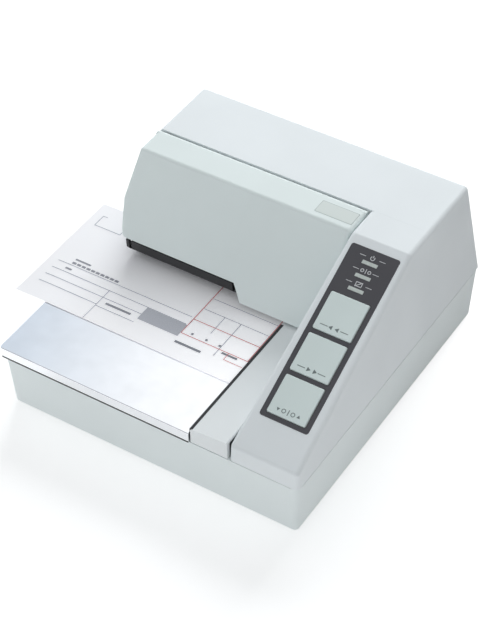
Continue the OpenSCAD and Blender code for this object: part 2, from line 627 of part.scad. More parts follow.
// ---- Paper table and guide ----
lip_r = 1.6;
table_left = left_x - 0.5;
lip_z = seam_z + 0.5;
module table_sheet(y0, y1) {
    polygon(concat([[y0, lip_z]], arc([y0 + lip_r, table_z - lip_r], lip_r, 180, 90),
        arc([y1 - lip_r, table_z - lip_r], lip_r, 90, 0),
        [[y1, lip_z], [y1 - table_t, lip_z]], arc([y1 - lip_r, table_z - lip_r], lip_r - table_t, 0, 90),
        arc([y0 + lip_r, table_z - lip_r], lip_r - table_t, 90, 180), [[y0 + table_t, lip_z]]));
}
module paper_table() color([0.86, 0.88, 0.91]) difference() {
    union() {
        along_x(table_left, table_right) table_sheet(front_y - 0.2, rear_y - 0.2);
        along_y(front_y + 3, rear_y - 3) polygon([[table_left, lip_z], [table_left + table_t, lip_z],
            [table_left + table_t, table_z], [table_left, table_z]]);
    }
    block([slot_left, print_y - platen_w / 2 + 0.5, table_z - 5],
        [slot_right, print_y + platen_w / 2 - 0.5, table_z + 1]);
    for (x = roller_x) block([x - roller_w / 2 - 1, feed_y - feed_r - 0.4, table_z - 5],
        [x + roller_w / 2 + 1, feed_y + feed_r + 0.4, table_z + 1]);
    for (x = stopper_x) block([x - 3.1, stopper_y - 0.25, table_z - 5],
        [x + 3.1, stopper_y + sheet + 0.5, table_z + 1]);
    translate([roller_x[0] - 15, print_y - 12, table_z - 5]) cylinder(r = 2, h = 10);
}
guide_rear = print_y - 9.5;
guide_top_l = table_z + 2.7;
guide_top_r = table_z + 4.1;
ledge_top = table_z + 0.7;
module side_guide() color([0.86, 0.88, 0.88]) difference() {
    union() {
        difference() {
            along_y(front_y + 0.2, guide_rear)
                polygon([[guide_left, seam_z + seam_gap], [tower_left(seam_z) - 0.9, seam_z + seam_gap],
                [tower_left(seam_z) - 0.9, guide_top_r - 0.6], [tower_left(seam_z) - 1.5, guide_top_r],
                [guide_left + 0.8, guide_top_l],
                [guide_left, guide_top_l - 0.8]]);
            along_y(front_y + 0.2 + wall, guide_rear - 1.6)
                polygon([[guide_left + 1.6, seam_z - 1], [right_x - tower_w + 1, seam_z - 1],
                [right_x - tower_w + 1, guide_top_r - 1.4], [guide_left + 1.6, guide_top_l - 1.5]]);
        }
        // Low ledge beside the print line and the rollers
        block([guide_left, guide_rear - 1, seam_z + seam_gap], [guide_left + 1.6, roof_y - 1, ledge_top]);
    }
    block([guide_left - 1, print_y - platen_w / 2 - 0.5, seam_z - 1],
        [guide_left + 5, feed_y + 4, table_z - table_t + 0.2]);
}
module paper_sensors() color([0.13, 0.13, 0.14]) {
    translate([roller_x[0] - 15, print_y - 12, table_z - 7]) cylinder(r = 3, h = 7 - table_t);
    block([roller_x[0] - 21, print_y - 15, lower_deck_z + 12],
        [roller_x[0] - 9, print_y - 9, table_z - 7]);
    block([roller_x[0] - 19, deck_front - 8.5, lower_deck_z],
        [roller_x[0] - 11, deck_front, lower_deck_z + sheet]);
    block([roller_x[0] - 19, print_y - 15.5, lower_deck_z],
        [roller_x[0] - 11, print_y - 13.5, lower_deck_z + 12.1]);
    block([roller_x[2] - 15, deck_y + 5, frame_z + sheet],
        [roller_x[2] - 7, deck_y + 9, frame_z + sheet + 2.6]);
}
module slip_form() color([0.95, 0.95, 0.97])
    block([slip_right - slip_w, slip_front, slip_z], [slip_right, slip_front + slip_l, slip_z + slip_t]);

// ---- Upper case ----
low_z = seam_z - below;
levels = [low_z, curl_z, waist_z, bulge_z, case_h];
// The tower's skin lies a hair inside the rear block's, so their joint is a clean line
flush = 0.02;
tower_end = roof_y + 8;
tower_top = case_h - flush;
tower_profile = [[front_at(low_z), low_z], [tower_end, low_z], [tower_end, tower_top],
    [crease_y, tower_top],
                 [slope_foot_y, foot_z - flush]];
block_front = roof_y - below;
block_profile = concat([for (z = levels) [rear_at(z), z]],
    [for (i = [0:4]) [block_front, levels[4 - i]]]);
path_floor_y = deck_y + 32 + loose;
module rear_half() block([left_x - 20, roof_y, low_z - 20], [right_x + 20, rear_y + 20, case_h + 20]);
// Hollow of the rear block, with the lining of the paper path left standing in it
module rear_cavity() {
    skin = wall + 0.05;
    difference() {
        intersection() {
            drafted_block([[roof_y - 1, low_z - 1], [rear_at(low_z - 1) - skin, low_z - 1],
                [rear_at(case_h) - skin, case_h - skin],
                [roof_y - 1, case_h - skin]], function(z) over_left(z) + skin, function(z)
                tower_right(z) - skin, levels);
            translate([0, 0, low_z - 20]) linear_extrude(case_h)
                polygon([[left_x - 20, roof_y - 1], [right_x - tower_w - 0.7, roof_y - 1],
                [right_x - tower_w - 0.7, roof_y + 4], [right_x + 20, roof_y + 4],
                [right_x + 20, rear_y + 20], [left_x - 20, rear_y + 20]]);
        }
        block([left_x - 30, path_floor_y, low_z - 30],
            [path_wall_x + wall, rear_y + 30, throat_z + wall]);
        block([path_wall_x - 1, roof_y - 3, low_z - 30],
            [path_wall_x + wall, path_floor_y + 1, throat_z - loose]);
    }
}
module key_windows() {
    on_slope(tower_x, panel_start + panel_l / 2, -panel_t) plate(panel_w + 0.2, panel_l + 0.2, 5, 1.5);
    on_slope(tower_x, panel_start + key_web + 1.5 * key_pitch - key_web / 2, -20)
        linear_extrude(30) square([key_w + 3, 3 * key_pitch + 0.6], center = true);
    on_slope(tower_x, panel_start + lens_start + lens_pitch, -20)
        linear_extrude(30) square([lens_w + 2, 2 * lens_pitch + lens_l + 2], center = true);
}
board_posts = [for (x = [-1, 1], s = [-0.9, panel_l - 3]) [x * key_w / 2, panel_start + s]];
module upper_case() color([0.90, 0.92, 0.93]) difference() {
    union() {
        difference() {
            union() {
                rounded_block(tower_profile, function(z) tower_left(z), function(z)
                    tower_right(z) - flush, edge_r);
                intersection() {
                    rounded_block(block_profile, function(z) over_left(z), function(z) tower_right(z),
                        edge_r);
                    rear_half();
                }
            }
            drafted_block([[front_at(low_z - 1) + wall, low_z - 1], [tower_end - 2, low_z - 1],
                [tower_end - 2, tower_top - wall],
                [inset(tower_profile, wall)[3].x, tower_top - wall], inset(tower_profile, wall)[4]],
                function(z) tower_left(z) + wall, function(z) tower_right(z) - wall, [low_z - 1, case_h]);
            rear_cavity();
            key_windows();
        }
        // Posts for the panel board, and ribbed bosses for the long case screws
        for (p = board_posts) on_slope(tower_x + p.x, p.y, -board_depth)
            cylinder(d = 4, h = board_depth - wall / 2);
        for (p = screw_places) translate([p.x, p.y, seam_z - 1]) cylinder(d = post_d, h = 15);
        for (i = [0:2]) let (p = screw_places[i], q = rib_ends[i])
            block([min(p.x, q.x) - 0.7, min(p.y, q.y) - 0.7, seam_z + 2.3],
            [max(p.x, q.x) + 0.7, max(p.y, q.y) + 0.7, seam_z + 8]);
    }
    // The throat for the slip, open to the front, the left and the back
    block([left_x - 20, front_y - 20, low_z - 20], [path_wall_x, rear_y + 20, throat_z]);
    block([left_x - 20, front_y - 20, low_z - 20], [right_x + 20, rear_y + 20, seam_z + seam_gap]);
    for (p = screw_places) translate([p.x, p.y, seam_z - 1]) cylinder(r = screw_r, h = 9);
    // Clearance for the feed motor
    block([tower_left(seam_z) - 2, motor_y - motor_r - 1, seam_z - 5],
        [tower_left(seam_z) + wall + 1.5, motor_y + motor_r + 1, seam_z + 7]);
}

// ---- Control panel ----
module key_hole(i) on_slope(tower_x, panel_start + key_web + key_l / 2 + key_step[i] * key_pitch,
    -panel_t - 1)
    linear_extrude(panel_t + 4) rounded_rect(key_w + 2 * loose, key_l + 2 * loose, 1);
module control_panel() color([0.25, 0.25, 0.27]) difference() {
    on_slope(tower_x, panel_start + panel_l / 2, -panel_t) plate(panel_w, panel_l, panel_t + 0.1, 1.4);
    for (i = [0:2]) key_hole(i);
    for (i = [0:2]) on_slope(tower_x, panel_start + lens_start + i * lens_pitch, -panel_t - 1)
        linear_extrude(panel_t + 4) square([lens_w + 0.1, lens_l + 0.1], center = true);
}
module indicator_lenses() color([0.75, 0.82, 0.80]) for (i = [0:2])
    on_slope(tower_x, panel_start + lens_start + i * lens_pitch, -panel_t - 2) {
        linear_extrude(panel_t + 2.3) square([lens_w, lens_l], center = true);
        linear_extrude(2) square([lens_w + 1.4, lens_l + 0.9], center = true);
    }
module panel_board() {
    color([0.13, 0.36, 0.22]) difference() {
        on_slope(tower_x, panel_start + panel_l / 2 - 2, -board_depth - board_t) linear_extrude(board_t)
            square([panel_w - 1, panel_l + 3], center = true);
        for (p = board_posts) on_slope(tower_x + p.x, p.y, -board_depth - 3) cylinder(r = 0.9, h = 6);
    }
    color([0.2, 0.2, 0.21]) for (i = [0:2]) {
        on_slope(tower_x, panel_start + key_web + key_l / 2 + i * key_pitch, -board_depth) {
            translate([0, 0, -0.1]) linear_extrude(2.7) square(6, center = true);
            cylinder(r = 1.7, h = 3.1);
        }
        on_slope(tower_x, panel_start + lens_start + i * lens_pitch, -board_depth) {
            translate([0, 0, -0.1]) cylinder(r = 1.5, h = 4.1);
            translate([0, 0, 4]) sphere(r = 1.5);
        }
    }
}
module key(i) on_slope(tower_x, panel_start + key_web + key_l / 2 + key_step[i] * key_pitch, 0)
    difference() {
    union() {
        hull() {
            translate([0, 0, -panel_t - 1]) linear_extrude(panel_t + 1 + key_proud - 0.5)
                rounded_rect(key_w, key_l, 0.9);
            linear_extrude(key_proud) rounded_rect(key_w - 0.9, key_l - 0.9, 0.7);
        }
        translate([0, 0, -panel_t - 1.4]) linear_extrude(1.37)
            square([key_w + 1.8, key_l + 1.8], center = true);
        translate([0, 0, -board_depth + 3.1 + key_travel + 0.2])
            linear_extrude(board_depth - 3.1 - key_travel - 0.2) square(5, center = true);
    }
    // The cap is a shell, open below around its stem
    translate([0, 0, -panel_t - 2]) linear_extrude(panel_t + 1.2) difference() {
        square([key_w - 2.4, key_l - 2.4], center = true);
        square(5, center = true);
    }
}
module forward_key() color([0.70, 0.76, 0.75]) key(0);
module reverse_key() color([0.70, 0.76, 0.75]) key(1);
module release_key() color([0.70, 0.76, 0.75]) key(2);

// ---- Upper frame ----
ear_r = 1.5;
function frame_front(z) = cover_face(z) + wall / cos(lean) + 1.5;
plate_top = hinge_z - 9;
module side_plate(x) difference() {
    union() {
        along_x(x, x + sheet) polygon([[frame_front(throat_z + 2), frame_z], [deck_y + 32, frame_z],
            [deck_y + 32, case_h - 32],
            [hinge_y + 12, plate_top], [hinge_y + 0.9, plate_top + 1], [hinge_y + 0.9, hinge_z],
            [hinge_y - 1.4, hinge_z],
            [hinge_y - 1.4, plate_top + 1], [frame_front(plate_top), plate_top]]);
        translate([0, hinge_y, hinge_z]) rod_x(x, x + sheet, ear_r);
    }
    translate([0, hinge_y, hinge_z]) rod_x(x - 1, x + sheet + 1, hinge_pin_r);
    translate([0, shaft_y, shaft_z]) rod_x(x - 1, x + sheet + 1, shaft_r);
    translate([0, rod_y, rod_z]) rod_x(x - 1, x + sheet + 1, rod_r);
    translate([0, release_y, release_z]) rod_x(x - 1, x + sheet + 1, 1.5 + run_fit);
    leaned() translate([0, 0, peg_z]) rod_x(x - 1, x + sheet + 1, peg_r);
    along_x(x - 1, x + sheet + 1) translate([hinge_y + 6, case_h - 26]) circle(5);
}
module upper_frame() color([0.66, 0.68, 0.70]) difference() {
    union() {
        side_plate(frame_left);
        side_plate(frame_right);
        block([frame_left, deck_y, frame_z], [frame_right + sheet, deck_y + 32, frame_z + sheet]);
        // Leg down to the lower frame, past the side of the paper path
        block([frame_right, deck_y, lower_deck_z + sheet],
            [frame_right + sheet, deck_y + 32, frame_z + 1]);
        block([frame_right - 10, deck_y, lower_deck_z + sheet],
            [frame_right + sheet, deck_y + 32, lower_deck_z + 2 * sheet]);
        // Stud for the idler pulley, and the shelf that carries the carriage motor
        translate([idler_x, belt_y, frame_z]) cylinder(r = 1.5, h = belt_z + belt_h + 1.4 - frame_z);
        translate([idler_x, belt_y, frame_z]) cylinder(r = 3, h = belt_z - 1 - frame_z);
        block([drive_x - 11, belt_y - 12, carriage_motor_z - sheet],
            [frame_right + 0.1, belt_y + 13, carriage_motor_z]);
    }
    translate([drive_x, belt_y, 0]) cylinder(r = 4, h = case_h);
    translate([drive_x, belt_y, frame_z - 1]) cylinder(r = 1 + run_fit, h = 4);
    for (i = [0:3]) translate([frame_left + 24 + i * 17, deck_y + 24, 0]) linear_extrude(60)
        rounded_rect(10, 7, 3);
    for (p = foot_screws) translate([p.x, p.y, 0]) cylinder(r = frame_screw_r + 0.15, h = 30);
}
lip_rise = 8;
guide_t = 1.6;
module upper_guide() color([0.10, 0.10, 0.11]) difference() {
    union() {
        block([frame_left - 2, print_y - 8, throat_z - guide_t],
            [path_wall_x - 0.6, deck_y + 32, throat_z]);
        block([path_wall_x - 0.7, print_y - 8, throat_z - guide_t],
            [frame_right - loose, roof_y - 0.4, throat_z]);
        // Lead-in lip below the raised part of the cover's edge
        along_x(frame_left - 2, step_x - 1)
            polygon([[print_y - 7.6, throat_z - guide_t], [print_y - 6, throat_z - guide_t],
            [print_y - 6, throat_z - 0.6], [print_y - 8, throat_z + lip_rise - 2.2],
            [print_y - 9.6, throat_z + lip_rise - 2.2], [print_y - 9.2, throat_z]]);
    }
    block([frame_left - 0.4, print_y - 5.5, throat_z - 5],
        [cassette_right + 0.5, print_y + 8, throat_z + 5]);
    for (x = roller_x) block([x - 8, print_y + 7, throat_z - 5], [x + 8, deck_y - 0.8, throat_z + 1]);
    for (x = stopper_x) block([x - 3.5, stopper_y - 1, throat_z - 5],
        [x + 3.5, stopper_y + sheet + 1, throat_z + 1]);
    block([frame_left - 0.3, print_y - 12, throat_z],
        [frame_left + sheet + 0.3, print_y + 5, throat_z + lip_rise]);
    along_y(print_y - 9, print_y)
        polygon([[guide_left - 0.6, table_z], [right_x, table_z], [right_x, guide_top_r + 0.5],
        [guide_left - 0.6, guide_top_r + 0.5]]);
}
pin_reach = 3;
module hinge_pins() color([0.75, 0.76, 0.78]) for (x = [frame_left, frame_right])
    translate([0, hinge_y, hinge_z]) rod_x(x - pin_reach, x + sheet + pin_reach, hinge_pin_r);
module guide_shaft() color([0.80, 0.81, 0.83]) translate([0, shaft_y, shaft_z]) difference() {
    rod_x(frame_left - 1, frame_right + sheet + 0.8, shaft_r);
    for (x = [frame_left - 0.7, frame_right + sheet + 0.2]) difference() {
        rod_x(x, x + 0.3, shaft_r + 1);
        rod_x(x, x + 0.3, shaft_r - 0.5);
    }
}
module guide_rod() color([0.80, 0.81, 0.83]) translate([0, rod_y, rod_z])
    rod_x(frame_left - 1, frame_right + sheet + 0.8, rod_r);

// ---- Carriage and print head ----
function head_back(z) = print_y + tan(lean) * (z - print_z) + (head_t / 2) / cos(lean);
carriage_foot = table_z + 11;
carriage_top = shaft_z + 7.5;
module carriage() color([0.13, 0.13, 0.14]) difference() {
    union() {
        along_x(home_x - carriage_w / 2, home_x + carriage_w / 2)
            polygon([[head_back(carriage_foot) + 0.05, carriage_foot],
            [shaft_y + 6, carriage_foot], [shaft_y + 8, rod_z - 4], [rod_y + 3, rod_z - 4],
            [rod_y + 3, carriage_top],
            [head_back(carriage_top) + 0.05, carriage_top]]);
        // Belt clamp
        block([home_x - 4, rod_y + 2.9, belt_z - 1.6],
            [home_x + 4, belt_y - pulley_r + 1.8, belt_z + belt_h + 1.4]);
    }
    translate([0, shaft_y, shaft_z]) rod_x(home_x - 20, home_x + 20, shaft_r + run_fit);
    block([home_x - 20, rod_y - rod_r - 0.2, rod_z - rod_r - 0.15],
        [home_x + 20, rod_y + 4, rod_z + rod_r + 0.15]);
    block([home_x - 5, belt_y - pulley_r - belt_t + 0.1, belt_z - 0.3],
        [home_x + 5, belt_y - pulley_r + 0.7, belt_z + belt_h + 0.3]);
    block([home_x - 8, shaft_y - 6.5, shaft_z + 4.5], [home_x + 8, rod_y - 3, carriage_top + 1]);
}
nose_len = 14;
module print_head() color([0.30, 0.31, 0.33]) difference() {
    translate([home_x, 0, 0]) leaned() {
        translate([0, 0, nose_len + 8]) linear_extrude(head_reach - nose_len - 8)
            square([head_w - 6, head_t - 4], center = true);
        translate([0, 0, nose_len]) linear_extrude(8.01) square([head_w - 2, head_t], center = true);
        for (i = [0:fin_count - 1])
            translate([0, 0, nose_len + 9.4 + i * (head_reach - nose_len - 9.6) / fin_count])
            linear_extrude(1) square([head_w, head_t], center = true);
        hull() {
            translate([0, 0, nose_len - 0.01]) linear_extrude(0.02)
                square([head_w - 8, head_t - 3], center = true);
            translate([0, 0, 4]) linear_extrude(0.02) square([4.4, 5.2], center = true);
        }
        linear_extrude(4.1) square([3.6, 4], center = true);
    }
    block([home_x - 20, print_y - 20, print_z - 9], [home_x + 20, print_y + 20, print_z + 0.7]);
}
// ---- Belt drive ----
module loop_outline(r) {
    for (x = [idler_x, drive_x]) translate([x, belt_y]) circle(r);
    translate([idler_x, belt_y - r]) square([drive_x - idler_x, 2 * r]);
}
module timing_belt() color([0.12, 0.12, 0.12]) translate([0, 0, belt_z]) linear_extrude(belt_h)
    difference() {
    loop_outline(pulley_r + belt_t / 2);
    loop_outline(pulley_r - belt_t / 2);
}
module pulley(x, shaft_lo, shaft_hi) translate([x, belt_y, 0]) {
    translate([0, 0, belt_z - 0.9]) cylinder(r = pulley_r - belt_t / 2 - 0.06, h = belt_h + 1.8);
    for (z = [belt_z - 0.9, belt_z + belt_h + 0.2]) translate([0, 0, z])
        cylinder(r = pulley_r + belt_t / 2 + 0.5, h = 0.7);
    translate([0, 0, shaft_lo]) cylinder(r = 1, h = shaft_hi - shaft_lo);
}
module drive_pulley() color([0.78, 0.76, 0.66]) pulley(drive_x, frame_z + 0.3, carriage_motor_z + 4);
module idler_pulley() color([0.78, 0.76, 0.66]) difference() {
    pulley(idler_x, belt_z - 0.9, belt_z + belt_h + 0.9);
    translate([idler_x, belt_y, 0]) cylinder(r = 1.5 + run_fit, h = case_h);
}
module carriage_motor() color([0.62, 0.64, 0.66]) translate([drive_x, belt_y, 0]) difference() {
    union() {
        translate([0, 0, carriage_motor_z]) cylinder(r = carriage_motor_r, h = carriage_motor_l);
        translate([0, 0, carriage_motor_z + carriage_motor_l]) cylinder(r = 4, h = 1.2);
    }
    translate([0, 0, carriage_motor_z - 1]) cylinder(r = 1 + run_fit, h = 6);
}

// ---- Release ----
lever_x = frame_left + sheet + 0.9;
lever_w = 2.2;
lever_run = 22;
lever_z = release_z + 2.6;
finger_x = [for (x = roller_x, s = [-1, 1]) x + s * 6.1];
plunger_r = 1.5;
module finger(x) along_x(x - 0.6, x + 0.6) difference() {
    union() {
        translate([release_y, release_z]) circle(2.2);
        translate([feed_y, pinch_z]) circle(1.9);
        polygon([[release_y, release_z + 2.2], [feed_y, pinch_z + 1.9], [feed_y, pinch_z - 1.9],
            [release_y, release_z - 2.2]]);
    }
    translate([feed_y, pinch_z]) circle(1 + run_fit);
}
module release_arm() color([0.72, 0.74, 0.76]) {
    translate([0, release_y, release_z]) rod_x(frame_left - 1, frame_right + sheet + 0.4, 1.5);
    for (x = finger_x) finger(x);
    along_x(lever_x, lever_x + lever_w) union() {
        translate([release_y, release_z]) circle(1.75);
        polygon([[release_y, release_z - 1.7], [release_y + 5, lever_z],
            [release_y + lever_run + 2, lever_z],
            [release_y + lever_run + 2, lever_z + lever_w], [release_y + 4, lever_z + lever_w],
            [release_y, release_z + 1.7]]);
    }
}
module pinch_rollers() color([0.14, 0.14, 0.15]) for (x = roller_x)
    translate([0, feed_y, pinch_z]) tube_x(x - 4.6, x + 4.6, pinch_r, 1);
module pinch_axles() color([0.80, 0.81, 0.83]) for (x = roller_x) translate([0, feed_y, pinch_z])
    rod_x(x - 7, x + 7, 1);
coil_y = release_y + lever_run;
coil_z = belt_z + belt_h + 4;
plunger_x = lever_x + lever_w / 2;
module release_solenoid() color([0.25, 0.26, 0.28]) difference() {
    union() {
        block([frame_left + sheet, coil_y - 6, coil_z],
            [frame_left + sheet + 14, coil_y + 6, coil_z + 20]);
        along_x(frame_left + sheet, frame_left + sheet + 14) translate([coil_y, coil_z + 10]) circle(7.5);
    }
    translate([plunger_x, coil_y, coil_z - 1]) cylinder(r = plunger_r + run_fit, h = 16);
}
module release_plunger() color([0.80, 0.81, 0.83])
    translate([plunger_x, coil_y, lever_z + lever_w + 0.1])
    cylinder(r = plunger_r, h = coil_z + 12 - lever_z - lever_w);

// ---- Ribbon cassette ----
ribbon_t = 0.15;
knob_x = cassette_right - 16;
knob_z = cassette_foot + 7.5;
module cassette_case() color([0.11, 0.11, 0.12]) difference() {
    leaned() {
        block([cassette_left, -cassette_t / 2, cassette_foot],
            [cassette_right, cassette_t / 2, cassette_top]);
        for (x = [cassette_left, cassette_right - arm_w]) translate([x, 0, 0]) rotate([90, 0, 90])
            linear_extrude(arm_w)
            polygon([[-cassette_t / 2 + 3.4, 1], [cassette_t / 2 - 3.4, -3],
            [cassette_t / 2, cassette_foot + 1], [-cassette_t / 2, cassette_foot + 1]]);
        // Pegs that drop into the side plates, and grip ribs along the top
        translate([0, 0, peg_z]) rod_x(frame_left - 0.3, frame_right + sheet + 0.3, peg_r);
        for (i = [0:7]) block([cassette_left + 24 + i * 3, -cassette_t / 2 - 0.5, cassette_top - 9],
            [cassette_left + 25.2 + i * 3, -cassette_t / 2 + 0.1, cassette_top - 2]);
    }
    leaned() translate([knob_x, -cassette_t / 2 - 1, knob_z]) rotate([-90, 0, 0])
        cylinder(r = 2 + run_fit, h = 9);
    // Flat feet of the arms, and the slots that the ribbon runs through
    block([cassette_left - 1, print_y - 20, print_z - 20],
        [cassette_right + 1, print_y + 20, print_z + 1]);
    for (side = [[cassette_left + arm_w / 2, -ribbon_t, 0.6],
        [cassette_right - arm_w / 2, -0.6, ribbon_t]])
        block([side[0] + side[1], print_y - ribbon_w / 2 - 0.4, print_z],
        [side[0] + side[2], print_y + ribbon_w / 2 + 0.4, print_z + 4]);
    leaned() for (x = [cassette_left + 16, cassette_right - 30])
        block([x - 8, -cassette_t / 2 - 1, cassette_foot + 2.5],
        [x + 8, -cassette_t / 2 + 0.5, cassette_top - 2.5]);
}
module ink_ribbon() color([0.16, 0.10, 0.22]) {
    block([cassette_left + arm_w / 2 - ribbon_t, print_y - ribbon_w / 2, print_z],
        [cassette_right - arm_w / 2 + ribbon_t, print_y + ribbon_w / 2, print_z + ribbon_t]);
    for (x = [cassette_left + arm_w / 2 - ribbon_t, cassette_right - arm_w / 2])
        block([x, print_y - ribbon_w / 2, print_z],
        [x + ribbon_t, print_y + ribbon_w / 2, print_z + 3.7]);
}
module ribbon_knob() color([0.20, 0.35, 0.55]) leaned()
    translate([knob_x, -cassette_t / 2 - 0.25, knob_z]) rotate([90, 0, 0]) {
    linear_extrude(2.6) polygon([for (i = [0:31]) (i % 2 == 0 ? 6 : 5.5)
        * [cos(i * 11.25), sin(i * 11.25)]]);
    translate([0, 0, -6]) cylinder(r = 2, h = 6.2);
}

// ---- Ribbon cover ----
cover_back = hinge_y + 10;
cover_profile = [[cover_face(table_z), table_z], [cover_back, table_z], [cover_back, curl_z],
    [cover_back, waist_z], [cover_back, bulge_z],
    [cover_back, case_h], [crease_y, case_h], [cover_face(bulge_z), bulge_z],
    [cover_face(waist_z), waist_z], [cover_face(curl_z), curl_z]];
function cover_right(z) = tower_left(z) - cover_gap;
raised_z = table_z + cover_high;
step_x = right_x - tower_w - cover_step;
curl_r = 5;
module cover_hem() along_y(front_y, rear_y)
    polygon(concat([[left_x - 9, table_z - 9], [left_x - 9, raised_z + curl_r]],
    arc([over_left(raised_z + curl_r) + curl_r, raised_z + curl_r], curl_r, 180, 270),
    [[step_x, raised_z], [step_x + step_run, table_z + cover_low], [right_x, table_z + cover_low],
    [right_x, table_z - 9]]));
module ribbon_cover() color([0.72, 0.77, 0.77]) difference() {
    union() {
        difference() {
            rounded_block(cover_profile, function(z) over_left(z), function(z) cover_right(z), edge_r,
                cover_fn);
            drafted_block(inset(cover_profile, wall), function(z) over_left(z) + wall, function(z)
                cover_right(z) - wall, levels);
            block([left_x, hinge_y, hinge_z], [right_x, cover_back + 20, case_h + 5]);
            block([left_x - 5, hinge_y + bead_r, table_z - 5], [right_x, cover_back + 20, case_h + 5]);
        }
        translate([0, hinge_y, hinge_z])
            rod_x(over_left(hinge_z) + 0.4, tower_left(hinge_z) - cover_gap - 0.1, bead_r);
    }
    cover_hem();
    for (x = [frame_left, frame_right]) {
        translate([0, hinge_y, hinge_z])
            rod_x(x - pin_reach - 0.3, x + sheet + pin_reach + 0.3, hinge_pin_r + run_fit);
        translate([0, hinge_y, hinge_z]) rod_x(x - 0.4, x + sheet + 0.4, ear_r + 0.15);
        block([x - 0.4, hinge_y - ear_r - 0.15, hinge_z - 5],
            [x + sheet + 0.4, hinge_y + 5, hinge_z + 1.1]);
    }
}

lower_case();
rubber_feet();
case_screws();
switch_hatch();
hatch_screw();
switch_bank();
main_board();
board_parts();
interface_connector();
connector_jackscrews();
power_inlet();
power_switch();
power_rocker();
ground_screw();
lower_frame();
frame_screws();
platen();
feed_motor();
feed_pinion();
feed_shaft();
feed_rollers();
feed_gear();
form_stopper();
stopper_solenoid();
paper_table();
side_guide();
paper_sensors();
slip_form();
upper_case();
control_panel();
indicator_lenses();
panel_board();
forward_key();
reverse_key();
release_key();
upper_frame();
upper_guide();
hinge_pins();
guide_shaft();
guide_rod();
carriage();
print_head();
timing_belt();
drive_pulley();
idler_pulley();
carriage_motor();
release_arm();
pinch_axles();
pinch_rollers();
release_solenoid();
release_plunger();
cassette_case();
ink_ribbon();
ribbon_knob();
ribbon_cover();
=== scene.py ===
# %% [markdown]
# # A compact slip printer in its studio
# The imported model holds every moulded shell, plate, roller and screw of the printer at its real size.
# This lesson lights it as in a catalogue, gives every part the finish of the real material, and adds
# the thin things that a solid model leaves out: the printed form, the trims, the pictograms and the
# bare labels.

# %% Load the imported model
import bpy
import bmesh
import json
import math
from mathutils import Matrix, Vector, noise


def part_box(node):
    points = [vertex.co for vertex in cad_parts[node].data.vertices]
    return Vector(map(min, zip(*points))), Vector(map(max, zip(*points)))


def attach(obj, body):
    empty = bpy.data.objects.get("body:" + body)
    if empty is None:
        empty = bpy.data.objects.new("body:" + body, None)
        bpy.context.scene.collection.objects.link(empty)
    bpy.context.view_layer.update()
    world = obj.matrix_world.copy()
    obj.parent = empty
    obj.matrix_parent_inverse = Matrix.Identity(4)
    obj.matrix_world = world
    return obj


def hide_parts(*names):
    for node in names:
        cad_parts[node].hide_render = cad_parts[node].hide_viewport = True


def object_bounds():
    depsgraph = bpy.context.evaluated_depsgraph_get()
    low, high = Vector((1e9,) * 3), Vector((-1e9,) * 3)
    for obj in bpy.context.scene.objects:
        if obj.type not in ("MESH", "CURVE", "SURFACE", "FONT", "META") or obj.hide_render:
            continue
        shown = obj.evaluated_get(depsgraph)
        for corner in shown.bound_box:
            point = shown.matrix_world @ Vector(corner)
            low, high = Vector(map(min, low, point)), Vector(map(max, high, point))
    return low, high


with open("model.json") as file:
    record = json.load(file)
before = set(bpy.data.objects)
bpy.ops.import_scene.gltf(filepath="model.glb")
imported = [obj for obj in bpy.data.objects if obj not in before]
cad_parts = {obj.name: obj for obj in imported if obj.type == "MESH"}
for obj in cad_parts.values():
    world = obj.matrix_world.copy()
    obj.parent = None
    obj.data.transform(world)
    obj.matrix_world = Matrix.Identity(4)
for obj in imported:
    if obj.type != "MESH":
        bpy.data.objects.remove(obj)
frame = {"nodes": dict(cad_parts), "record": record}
nodes = frame["nodes"]
cad_box = [list(corner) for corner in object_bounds()]
MM = 0.001
print("parts loaded:", len(nodes), "- size in mm:",
      [round((high - low) / MM, 1) for low, high in zip(*cad_box)])

# %% [markdown]
# ## The camera
# The printer is seen from above its front right corner with a long lens, so its edges stay nearly
# parallel. A lens of 110 mm on a 36 mm sensor, a metre away, gives that. The camera looks at a point
# in the middle of the picture and is tipped by a degree and a half, as a camera held by hand is. A
# camera without perspective would be simpler, but the far edges would then look too long.

# %% Camera
AZIMUTH, ELEVATION, TIP = (math.radians(angle) for angle in (33.49, 43.97, -1.57))
AIM = Vector((0.0118, -0.02099, 0.050))
DISTANCE = 1.0083
LENS, SENSOR, SHIFT = 109.66, 36, (-0.0046, -0.0026)

camera = bpy.data.objects.new("camera", bpy.data.cameras.new("camera"))
bpy.context.scene.collection.objects.link(camera)
bpy.context.scene.camera = camera
camera.data.lens, camera.data.sensor_width = LENS, SENSOR
camera.data.shift_x, camera.data.shift_y = SHIFT
camera.data.clip_end = 20
level_part = math.cos(ELEVATION)
back = Vector((math.sin(AZIMUTH) * level_part, -math.cos(AZIMUTH) * level_part, math.sin(ELEVATION)))
right = Vector((math.cos(AZIMUTH), math.sin(AZIMUTH), 0))
right_tipped = math.cos(TIP) * right + math.sin(TIP) * back.cross(right)
up_tipped = back.cross(right_tipped)
axes = Matrix((right_tipped, up_tipped, back)).transposed().to_4x4()
camera.matrix_world = Matrix.Translation(AIM + back * DISTANCE) @ axes
print("camera stands at", [round(v, 3) for v in camera.matrix_world.translation])

# %% [markdown]
# ## Floor, room and lamps
# Materials, the floor and the world are all trees of shader nodes. They could be joined by hand in the
# editor, but a script writes the same tree each time. Three helpers do most of it: one turns a colour
# as it looks on screen into the numbers that light works with, one adds a node, and one joins two.

# %% Small helpers for node trees
WHITE = (1, 1, 1, 1)

def linear(red, green, blue):
    """A colour as it looks on screen, given from 0 to 255, as the shader wants it."""
    return tuple((c / 255 / 12.92 if c <= 10 else ((c / 255 + 0.055) / 1.055) ** 2.4)
                 for c in (red, green, blue)) + (1.0,)

